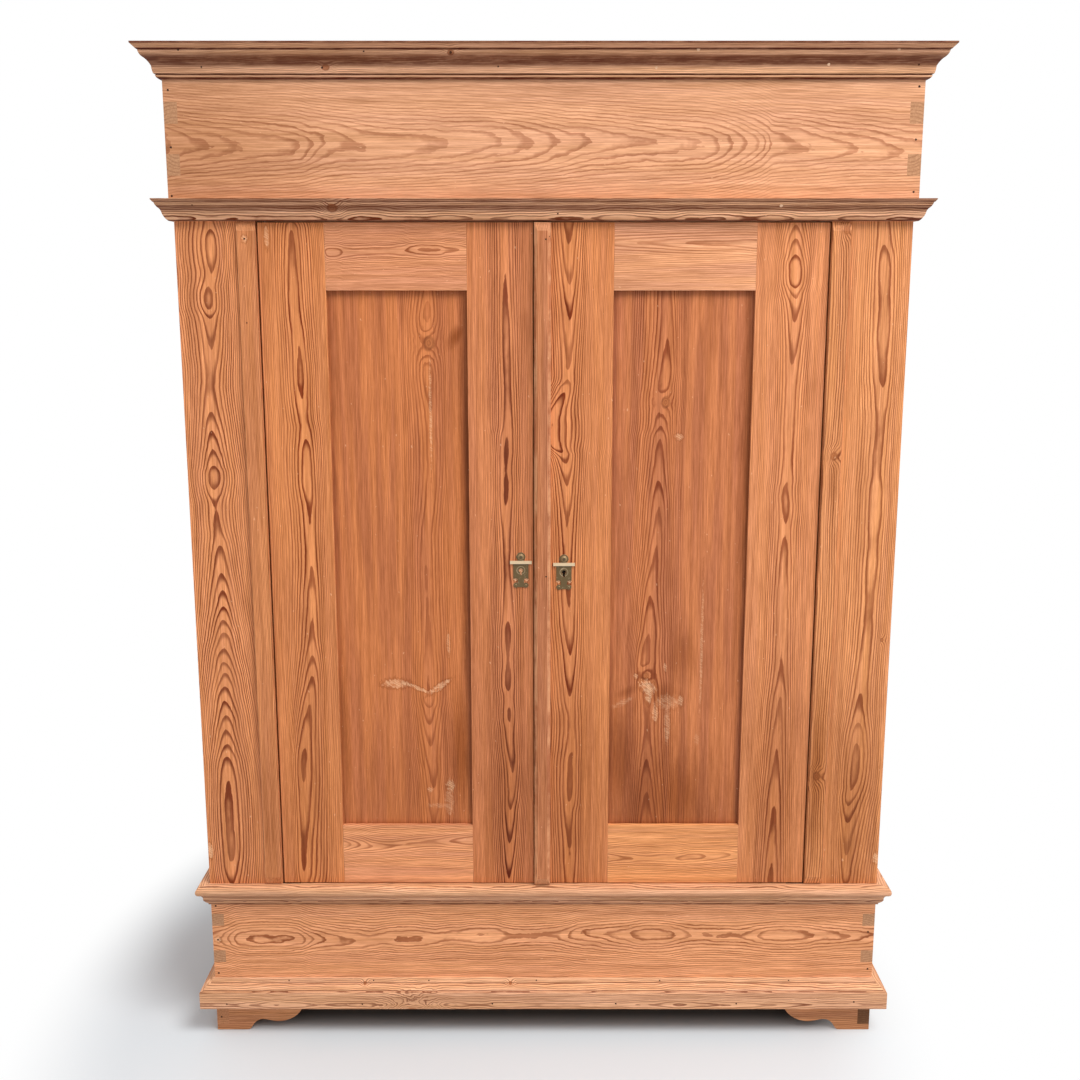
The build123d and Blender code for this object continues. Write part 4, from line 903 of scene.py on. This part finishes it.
board("right_door_panel", (0.796, 0.504, 0.346), (0.470, 0.180, 0.060), heart=right_panel_heart,
      ring=2.7, heart_depth=30.0, contrast=0.85, knots=[(1270, 225, 8, 2.2), (744, 197, 6, 2.4)],
      scuffs=[(722, 201, 14, 17, 0.95, -0.3), (708, 203, 20, 8, 0.8), (744, 178, 6, 5, 0.6),
              (690, 152, 7, 22, 0.35, 0.5), (692, 240, 15, 27, 0.4), (668, 216, 17, 7, 0.6),
              (645, 240, 42, 7, 0.4), (695, 265, 11, 6, 0.6), (762, 234, 9, 4, 0.5),
              (617, 298, 12, 6, 0.25), (801, 303, 139, 3, 0.4), (1206, 251, 7, 9, 0.6)],
      stains=[(570, 150, 190, 60, 0.85), (500, 265, 150, 80, 0.95), (490, 230, 190, 190, 0.8),
              (1100, 376, 620, 18, 0.6), (783, 267, 70, 40, 0.6), (708, 226, 34, 56, 0.7),
              (712, 160, 16, 36, 0.7, 0.4)],
      grime=(127, 383, 438, 1474, 14), seed=14.0, **DOOR_PANEL)
print("right door dressed")

# %% [markdown]
# ## The friezes
#
# The cornice and the base are boxes of wide boards, dovetailed at the corners. The grain
# of their front boards runs across and flames from left to right; the lines are ragged,
# as on a board cut just under the bark. The side boards reach through the front, so the
# ends of their tails show there as small grey blocks of end grain.

# %% Cornice and base boards
upper_heart = [
    (-672, 1729, -0.6), (-641, 1727, 0.3), (-600, 1724, 1.0), (-526, 1725, 2.0), (-436, 1722, 3.0),
    (-410, 1725, 4.0), (-378, 1731, 5.0), (-306, 1722, 6.0), (-183, 1724, 7.0), (-84, 1732, 8.0),
    (-17, 1729, 9.0), (23, 1727, 10.0), (81, 1731, 11.0), (169, 1727, 12.0), (277, 1722, 13.0),
    (314, 1722, 14.0), (339, 1724, 15.0), (360, 1724, 16.0), (379, 1725, 17.0), (393, 1725, 18.0),
    (407, 1725, 19.0), (473, 1720, 20.0), (538, 1717, 21.0), (632, 1709, 22.0), (673, 1707, 22.4),
]
lower_heart = [
    (-665, 199, 4.2), (-635, 199, 3.0), (-621, 199, 2.0), (-601, 199, 1.0), (-547, 199, 0.4),
    (-495, 199, 1.0), (-477, 197, 2.0), (-461, 197, 3.0), (-427, 195, 4.0), (-371, 193, 5.0),
    (-331, 197, 5.4), (-307, 201, 5.0), (-271, 201, 4.6), (-237, 201, 5.0), (-187, 206, 5.6),
    (-145, 207, 5.0), (-121, 208, 4.8), (-97, 208, 5.0), (-43, 206, 6.1), (3, 207, 6.0), (47, 207, 5.0),
    (71, 210, 4.0), (125, 211, 3.0), (173, 210, 2.0), (188, 210, 1.55), (217, 210, 1.3),
    (250, 210, 1.55), (265, 210, 2.0), (313, 210, 2.9), (347, 209, 3.0), (429, 208, 2.0),
    (448, 208, 1.55), (487, 208, 1.3), (526, 209, 1.55), (545, 209, 2.0), (609, 207, 3.0),
    (663, 206, 4.0),
]
board("cornice_front_board", (0.882, 0.664, 0.532), (0.540, 0.260, 0.100), grain=LEVEL,
      face=CORNICE, heart=upper_heart, ring=3.6, heart_depth=72.0, figure=70.0, side_strength=0.5,
      waver=1.4, jagged=0.7, late_start=0.52, contrast=0.6, patches=0.3,
      stains=[(-620, 1715, 330, 160, 0.55)], seed=15.0)
board("base_front_board", (0.931, 0.670, 0.505), (0.540, 0.260, 0.100), grain=LEVEL,
      heart=lower_heart, ring=3.8, heart_depth=28.0, figure=60.0, side_strength=0.55, waver=1.4,
      waver_along=12.0, jagged=0.8, late_start=0.52, contrast=0.85, patches=0.3,
      scuffs=[(-651, 198, 7, 7, 0.8)], seed=16.0)
CORNICE_SIDE, BODY_SIDE = 666.5, 661.0
for node, face, middle, ring in (("cornice_side_boards", CORNICE_SIDE, 1725.0, 6.0),
                                 ("base_side_boards", BODY_SIDE, 200.0, 5.0)):
    board(node, (0.90, 0.64, 0.47), (0.54, 0.26, 0.10), grain=DEEP, inward=LEVEL, face=face,
          middle=middle, ring=ring, heart_depth=22.0, figure=80.0, side_strength=0.6, drift=20.0,
          waver=1.8, jagged=0.4, late_start=0.5, contrast=0.65, mirror=True, seed=face / 40)
print("friezes dressed")

# %% [markdown]
# ## Mouldings and feet
#
# A moulding is planed across the rings, so they come and go along it as long streaks.
# The heart lies behind the strip, and a strong drift along the grain gives the streaks.
# Old dirt and painted shade fill the hollows and quirks. It is placed by height, and tops, where the light
# falls, get less of it.

# %% Mouldings
# Dirt and painted shade by height above the lower edge of each moulding: darkest in its quirks and coves.
crown_dirt = [
    (0, 1.0), (2.4, 1.0), (3.2, 0.0), (5.6, 0.0), (6.4, 1.0), (8.0, 1.0), (9.0, 0.0), (14, 0.1),
    (20, 0.45), (26, 0.9), (33, 0.86), (38, 0.45), (43.5, 0.3), (44.2, 1.0), (46.2, 1.0), (47, 0.25),
    (53, 0.3), (54, 0.95), (56.5, 0.95),
]
waist_dirt = [
    (0, 0.95), (1.6, 0.95), (2.6, 0.0), (13, 0.05), (17, 0.45), (25, 0.7), (27, 0.2), (31, 0.2),
    (31.7, 1.0), (32.5, 0.6), (36, 0.55), (37.5, 0.9),
]
ledge_dirt = [
    (0, 0.7), (2.5, 0.6), (3.5, 0.25), (10, 0.25), (11, 0.9), (12, 0.9), (13, 0.05), (16.5, 0.05),
    (18, 0.3), (23, 0.35), (24, 1.0), (25, 1.0), (26, 0.05), (42.5, 0.05),
]
plinth_dirt = [
    (0, 0.3), (4, 0.12), (34, 0.1), (35, 0.0), (36, 0.85), (36.9, 0.85), (37.7, 0.0), (45.5, 0.0),
    (46.3, 0.6), (47.2, 0.6), (48, 0.0), (56, 0.0),
]
moulding_rows = (
    ("crown", "front", CORNICE, 1800.0, 2.6, 1.2, 0.6, (1833.5, crown_dirt)),
    ("crown", "sides", CORNICE_SIDE, 1800.0, 2.6, 1.2, 0.6, (1833.5, crown_dirt)),
    ("waist", "front", CORNICE, 1585.0, 3.0, 2.8, 1.05, (1594.0, waist_dirt)),
    ("waist", "sides", CORNICE_SIDE, 1585.0, 3.0, 2.8, 1.05, (1594.0, waist_dirt)),
    ("base_moulding", "front", FRONT, 280.0, 2.8, 1.6, 0.8, (276.5, ledge_dirt)),
    ("base_moulding", "sides", BODY_SIDE, 280.0, 2.8, 1.6, 0.6, (276.5, ledge_dirt)),
    ("plinth", "front", FRONT, 70.0, 3.2, 2.2, 0.8, (61.0, plinth_dirt)),
    ("plinth", "sides", BODY_SIDE, 70.0, 3.2, 2.2, 0.55, (61.0, plinth_dirt)),
)
moulding_knots = {
    "crown_front": [(-160, 1873, 4.5, 2.4), (-378, 1851, 5, 2.2)],
    "waist_front": [(-374, 1615, 7, 4.0)],
    "plinth_front": [(-262, 48, 15, 9.0), (-358, 108, 2.6, 2.2), (-66, 108, 2.6, 2.2)],
}
for number, (strip, where, face, middle, ring, waver, contrast, dirt) in enumerate(moulding_rows):
    grain, inward = (LEVEL, DEEP) if where == "front" else (DEEP, LEVEL)
    board(f"{strip}_{where}", (0.96, 0.75, 0.61), (0.46, 0.20, 0.07), corner=0.35, grain=grain,
          inward=inward, face=face, middle=middle, ring=ring, drift=14.0, waver=waver,
          waver_along=12.0, jagged=0.5, contrast=contrast, patches=0.4, dirt=dirt, moulded=True,
          mirror=where == "sides", knots=moulding_knots.get(f"{strip}_{where}", ()),
          seed=20.0 + number)
print(len(moulding_rows), "mouldings dressed")

# %% Feet
LIGHT_END, DARK_END = (1.15, 1.0, 0.9, 1.0), (0.40, 0.34, 0.30, 1.0)
FOOT = {"spring": (0.84, 0.60, 0.44), "summer": (0.58, 0.34, 0.20), "middle": 90.0, "ring": 4.0,
        "drift": 6.0, "waver": 2.0, "jagged": 0.4, "contrast": 0.7}
board("front_feet", grain=LEVEL, seed=30.0, **FOOT)
board("side_feet", grain=DEEP, inward=LEVEL, face=BODY_SIDE, ends=(LIGHT_END, DARK_END),
      mirror=True, seed=31.0, **FOOT)
print("feet dressed")

# %% [markdown]
# ## Sides
#
# Each side is a frame with one panel, made like the doors. The photograph shows none of
# it, so its boards get plain grain without a drawn heart, each side from another seed.

# %% Side frames
for side, direction, first_seed in (("left", 1, 40.0), ("right", -1, 46.0)):
    inward = (direction, 0, 0)
    board(f"{side}_side_stiles", (0.88, 0.59, 0.41), (0.49, 0.20, 0.06), inward=inward,
          face=-BODY_SIDE, middle=40.0, ring=2.6, drift=16.0, contrast=0.85, seed=first_seed)
    board(f"{side}_side_rails", (0.93, 0.66, 0.49), (0.57, 0.28, 0.11), grain=DEEP, inward=inward,
          face=-BODY_SIDE, middle=1500.0, ring=3.4, drift=9.0, waver=1.3, contrast=0.7,
          seed=first_seed + 1)
    board(f"{side}_side_panel", (0.81, 0.51, 0.345), (0.48, 0.19, 0.06), inward=inward,
          face=10.0 - BODY_SIDE, middle=36.0, ring=2.8, heart_depth=28.0, figure=70.0,
          side_strength=0.3, drift=26.0, contrast=0.7, patches=1.0, seed=first_seed + 2)
print("sides dressed")

# %% [markdown]
# ## Back and inside
#
# What doesn't show was never stripped or waxed: bare pine, paler and greyer, planed
# roughly. The back, the floor and the ceiling are rows of boards, so their recipe counts
# planks and gives each its own heart.

# %% Inside timber
DOWN, FROM_BACK = (0, 0, -1), (0, -1, 0)
bare_rows = (
    ("back_boards", UP, FROM_BACK, -276.75, 0.0, False, (-644.0, 184.09)),
    ("base_back_board", LEVEL, FROM_BACK, -284.75, 190.0, False, None),
    ("cornice_back_board", LEVEL, FROM_BACK, -284.75, 1740.0, False, None),
    ("floor_boards", LEVEL, DOWN, -319.0, 0.0, False, (-211.25, 118.15)),
    ("ceiling_boards", LEVEL, UP, 1594.0, 0.0, False, (-219.25, 120.15)),
    ("board_cleats", LEVEL, DEEP, -211.25, 280.0, False, None),
    ("corner_blocks", UP, DEEP, -211.25, 620.0, True, None),
    ("hat_shelf", LEVEL, DOWN, -1354.0, 80.0, False, None),
    ("shelf_cleats", DEEP, LEVEL, 617.0, 1290.0, True, None),
    ("hanging_rail", LEVEL, DEEP, 56.5, 1286.0, False, None),
    ("door_stops", LEVEL, DEEP, -210.75, 330.0, False, None),
    ("locating_pegs", UP, DEEP, -164.0, 652.0, True, None),
)
for number, (node, grain, inward, face, middle, mirror, planks) in enumerate(bare_rows):
    board(node, (0.80, 0.64, 0.47), (0.6, 0.41, 0.25), corner=0.5, grain=grain, inward=inward,
          face=face, middle=middle, ring=3.4, drift=16.0, waver=1.4, jagged=0.35, contrast=0.8,
          patches=0.4, mirror=mirror, planks=planks, seed=60.0 + 3 * number)
print(len(bare_rows), "kinds of inside timber dressed")

# %% [markdown]
# ## Aged brass and iron
#
# The keyhole plates are thin cast brass that has gone olive brown. Hands and the key keep
# a ring round the keyhole and the cap bar pale, and the cap bar is also painted pale as a
# highlight where the light falls on it. Thin dark lines just above and under the bar are
# dirt and painted shadow. Those places are worked out from each plate's own middle and
# height. Iron fittings are hidden; they are dark, matte and a little rusty.

# %% Old metal
aged_metal, entry, leave = new_group(
    "aged_metal",
    {"Point": (0, 0, 0), "Facing": (0, 0, 1), "Scale": 300.0, "Bare": shade(0.75, 0.62, 0.36),
     "Tarnish": shade(0.36, 0.3, 0.18), "Amount": 0.6, "Rubbed": 0.0, "Dirt": 0.0, "Most Metal": 1.0},
    ("Color", "Roughness", "Metallic", "Height"),
)
metal_spots = noise(entry["Point"], entry["Scale"], 4.0, 0.6)
metal_corner = fall(squareness(entry["Facing"]), 0.88, 0.985)
tarnished = fade(metal_spots + entry["Amount"], 0.75, 1.25) + metal_corner * -0.55
tarnished = fade(tarnished - entry["Rubbed"], 0.0, 1.0)
metal_colour = blend_colours(tarnished, entry["Bare"], entry["Tarnish"])
# Dirt and painted shadow darken the metal towards a dark brown.
feed(leave["Color"], blend_colours(entry["Dirt"], metal_colour, shade(0.14, 0.09, 0.06)))
feed(leave["Roughness"], tarnished * 0.2 + 0.4)
feed(leave["Metallic"], fade(tarnished, 0.0, 1.0, 1.0, 0.6) * entry["Most Metal"])
feed(leave["Height"], metal_spots)
print("group", aged_metal.name)

# %% Marks on a keyhole plate
CAP_HEIGHT, KEYHOLE_DROP, DOME = 6.0 * MM, 18.3 * MM, 6.4 * MM
plate_marks, entry, leave = new_group(
    "plate_marks", {"Point": (0, 0, 0), "Middle": 0.0, "Cap Top": 0.97}, ("Rubbed", "Dirt")
)
plate_x, _, plate_z = separate(entry["Point"])
below_top = entry["Cap Top"] - plate_z
# The cap bar is painted pale as a highlight as well as rubbed, and thin lines just above and under it get
# dirt and painted shadow.
above_cap = fall(below_top, -1.4 * MM, -0.4 * MM)
on_cap = fade(below_top, -MM, 0.0) * fall(below_top, CAP_HEIGHT - 0.4 * MM, CAP_HEIGHT + 0.4 * MM)
under_cap = fall(below_top, CAP_HEIGHT + 0.4 * MM, CAP_HEIGHT + 2.2 * MM)
key_spot = combine(plate_x - entry["Middle"], below_top - KEYHOLE_DROP)
key_reach = vector_calc("LENGTH", key_spot)
ring_mark = fade(key_reach, DOME, DOME + 0.6 * MM) * fall(key_reach, DOME + 1.4 * MM, DOME + 2.4 * MM)
feed(leave["Rubbed"], most(on_cap, ring_mark * 0.35))
feed(leave["Dirt"], most((under_cap - on_cap - above_cap) * 0.8, 0.0))
print("group", plate_marks.name)

# %% Metal finishes
METAL_BUMP, METAL_BUMP_SHARE = 0.15 * MM, 0.4


def metal(name, bare, tarnish, amount, scale, plate=None, most_metal=1.0):
    """A material for old metal; a keyhole plate also gives its middle and its top."""
    finish, tree, point, facing = new_finish(name)
    spots = {"Rubbed": 0.0, "Dirt": 0.0}
    if plate:
        middle, top = plate
        spots = place_group(tree, plate_marks, Point=point, Middle=middle * MM, Cap_Top=top * MM)
    skin = place_group(tree, aged_metal, Point=point, Facing=facing, Scale=scale,
                       Bare=shade(*bare), Tarnish=shade(*tarnish), Amount=amount,
                       Most_Metal=most_metal, **spots)
    close_finish(tree, skin, METAL_BUMP_SHARE, METAL_BUMP)
    return finish


for side, middle, cap_top in (("left", -42.6, 973.5), ("right", 38.5, 969.6)):
    plate_brass = metal(f"{side}_plate_brass", (0.84, 0.74, 0.60), (0.38, 0.30, 0.17), 0.75, 160.0,
                        plate=(middle, cap_top), most_metal=0.35)
    tack_brass = metal(f"{side}_tack_brass", (0.66, 0.56, 0.40), (0.34, 0.26, 0.15), 1.0, 160.0,
                       most_metal=0.35)
    dress(f"{side}_escutcheon", plate_brass, corner=0.25)
    dress(f"{side}_escutcheon_tacks", tack_brass, corner=0.25)
old_iron = metal("old_iron", (0.42, 0.39, 0.36), (0.24, 0.19, 0.16), 0.5, 140.0)
iron_nodes = ("left_door_pivots", "right_door_pivots", "pivot_sockets", "lock_case", "lock_bolt",
              "lock_strike", "slide_bolt_guides", "top_slide_bolt", "bottom_slide_bolt")
for node in iron_nodes:
    dress(node, old_iron, corner=0.3)
bare_left = [node for node in nodes if node not in dressed]
print("dressed", len(dressed), "of", len(nodes), "nodes; left:", bare_left)

# %% [markdown]
# ## Nails
#
# The mouldings and battens are nailed on. After the stripping the heads are dark, nearly
# flush spots; a few on the right were filled with a pale paste instead. Each is a shallow,
# slightly uneven dome, seated on the board by a ray from the front, so it lies on a
# curved moulding as well as on a flat board.

# %% Seating nails
RAY_START = -600.0
skins = {}


def seat(node, x, z):
    """The place and the direction of a node's front surface at a width and a height."""
    if node not in skins:
        mesh = nodes[node].data
        corners = [vertex.co for vertex in mesh.vertices]
        skins[node] = BVHTree.FromPolygons(corners, [tuple(face.vertices) for face in mesh.polygons])
    start = Vector((x * MM, RAY_START * MM, z * MM))
    hit, normal, _, _ = skins[node].ray_cast(start, Vector(DEEP))
    return hit, normal


print("rays start at y", RAY_START, "mm")

# %% Nail heads
NAIL_SIDES = 12
NAIL_RINGS = ((1.0, -0.05), (0.86, 0.22), (0.45, 0.34))
NAIL_TOP = 0.36


def nail_heads(name, body, rows, finish):
    """One mesh of nail heads: rows of node, width, height and radius in millimetres."""
    corners, faces = [], []
    for number, (node, x, z, radius) in enumerate(rows):
        hit, normal = seat(node, x, z)
        if hit is None:
            print("no surface for a nail at", node, x, z)
            continue
        across = normal.cross(Vector(UP)).normalized()
        upward = across.cross(normal).normalized()
        first = len(corners)
        for ring, lift in NAIL_RINGS:
            for step in range(NAIL_SIDES):
                turn = 2 * math.pi * step / NAIL_SIDES
                uneven = 1 + 0.09 * math.sin(3 * turn + number) + 0.06 * math.sin(5 * turn + 2.3 * number)
                reach = radius * ring * uneven * MM
                spot = hit + across * math.cos(turn) * reach + upward * math.sin(turn) * reach
                corners.append(spot + normal * lift * MM)
        middle = len(corners)
        corners.append(hit + normal * NAIL_TOP * MM)
        for step in range(NAIL_SIDES):
            after = (step + 1) % NAIL_SIDES
            for low in (first, first + NAIL_SIDES):
                high = low + NAIL_SIDES
                faces.append((low + step, high + step, high + after, low + after))
            top = first + 2 * NAIL_SIDES
            faces.append((top + step, middle, top + after))
        faces.append(tuple(first + step for step in range(NAIL_SIDES)))
    mesh = bpy.data.meshes.new(name)
    mesh.from_pydata(corners, [], faces)
    mesh.materials.append(finish)
    mesh.validate()
    piece = bpy.data.objects.new(name, mesh)
    bpy.context.scene.collection.objects.link(piece)
    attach(piece, body)
    print(name, "has", len(rows), "nails")


dark_nail = metal("dark_nail", (0.36, 0.22, 0.15), (0.22, 0.12, 0.08), 0.7, 500.0)
filled_nail = metal("filled_nail", (0.90, 0.74, 0.60), (0.58, 0.38, 0.25), 0.45, 700.0, most_metal=0.0)
print("nails ready")

# %% Nails of the cornice, the battens and the base
CROWN, WAIST, FRIEZE = "crown_front", "waist_front", "cornice_front_board"
BASE, PLINTH, BATTENS = "base_front_board", "plinth_front", "outer_battens"
nail_heads("cornice_nails", "cabinet", [
    (CROWN, -627, 1877, 1.8), (CROWN, -593, 1852, 1.6), (CROWN, -309, 1875, 1.6), (CROWN, -384, 1851, 1.9),
    (CROWN, -160, 1873, 2.6), (CROWN, -79, 1853, 1.6), (CROWN, 649, 1856, 1.9),
    (FRIEZE, -657, 1816, 2.0), (FRIEZE, -657, 1720, 2.0), (FRIEZE, -660, 1637, 2.0), (FRIEZE, 656, 1822, 2.2),
    (FRIEZE, 655, 1733, 2.0), (FRIEZE, 656, 1644, 2.0),
    (WAIST, -620, 1620, 1.5), (WAIST, 25, 1606, 1.5),
], dark_nail)
nail_heads("filled_nails", "cabinet", [
    (CROWN, 265, 1878, 3.0), (CROWN, 195, 1851, 2.4), (CROWN, 493, 1856, 2.6), (CROWN, 609, 1878, 2.6),
    (WAIST, 419, 1619, 3.0),
], filled_nail)
nail_heads("batten_nails", "cabinet", [
    (BATTENS, -535, 1563, 1.8), (BATTENS, -537, 1415, 1.2),
], dark_nail)
nail_heads("centre_batten_nails", "right_door", [
    ("centre_batten", 4, 1562, 1.7), ("centre_batten", 10.5, 1567, 1.2), ("centre_batten", 5, 946, 1.6),
], dark_nail)
nail_heads("base_nails", "cabinet", [
    (BASE, -652, 271, 1.9), (BASE, -651, 198, 1.8), (BASE, -653, 125, 2.0), (BASE, 649, 215, 2.0),
    (BASE, 652, 134, 2.0), (PLINTH, -341, 112, 1.4), (PLINTH, -511, 112, 1.5), (PLINTH, -230, 112, 1.5),
    (PLINTH, -14, 112, 1.5), (PLINTH, 234, 112, 1.5), (PLINTH, 493, 112, 1.5),
    (PLINTH, -633, 72, 1.8), (PLINTH, -362, 72, 1.8), (PLINTH, -102, 73, 1.8), (PLINTH, 145, 73, 1.8),
    (PLINTH, 386, 73, 1.8), (PLINTH, 621, 77, 1.8), ("side_feet", -652, 28, 1.8),
], dark_nail)
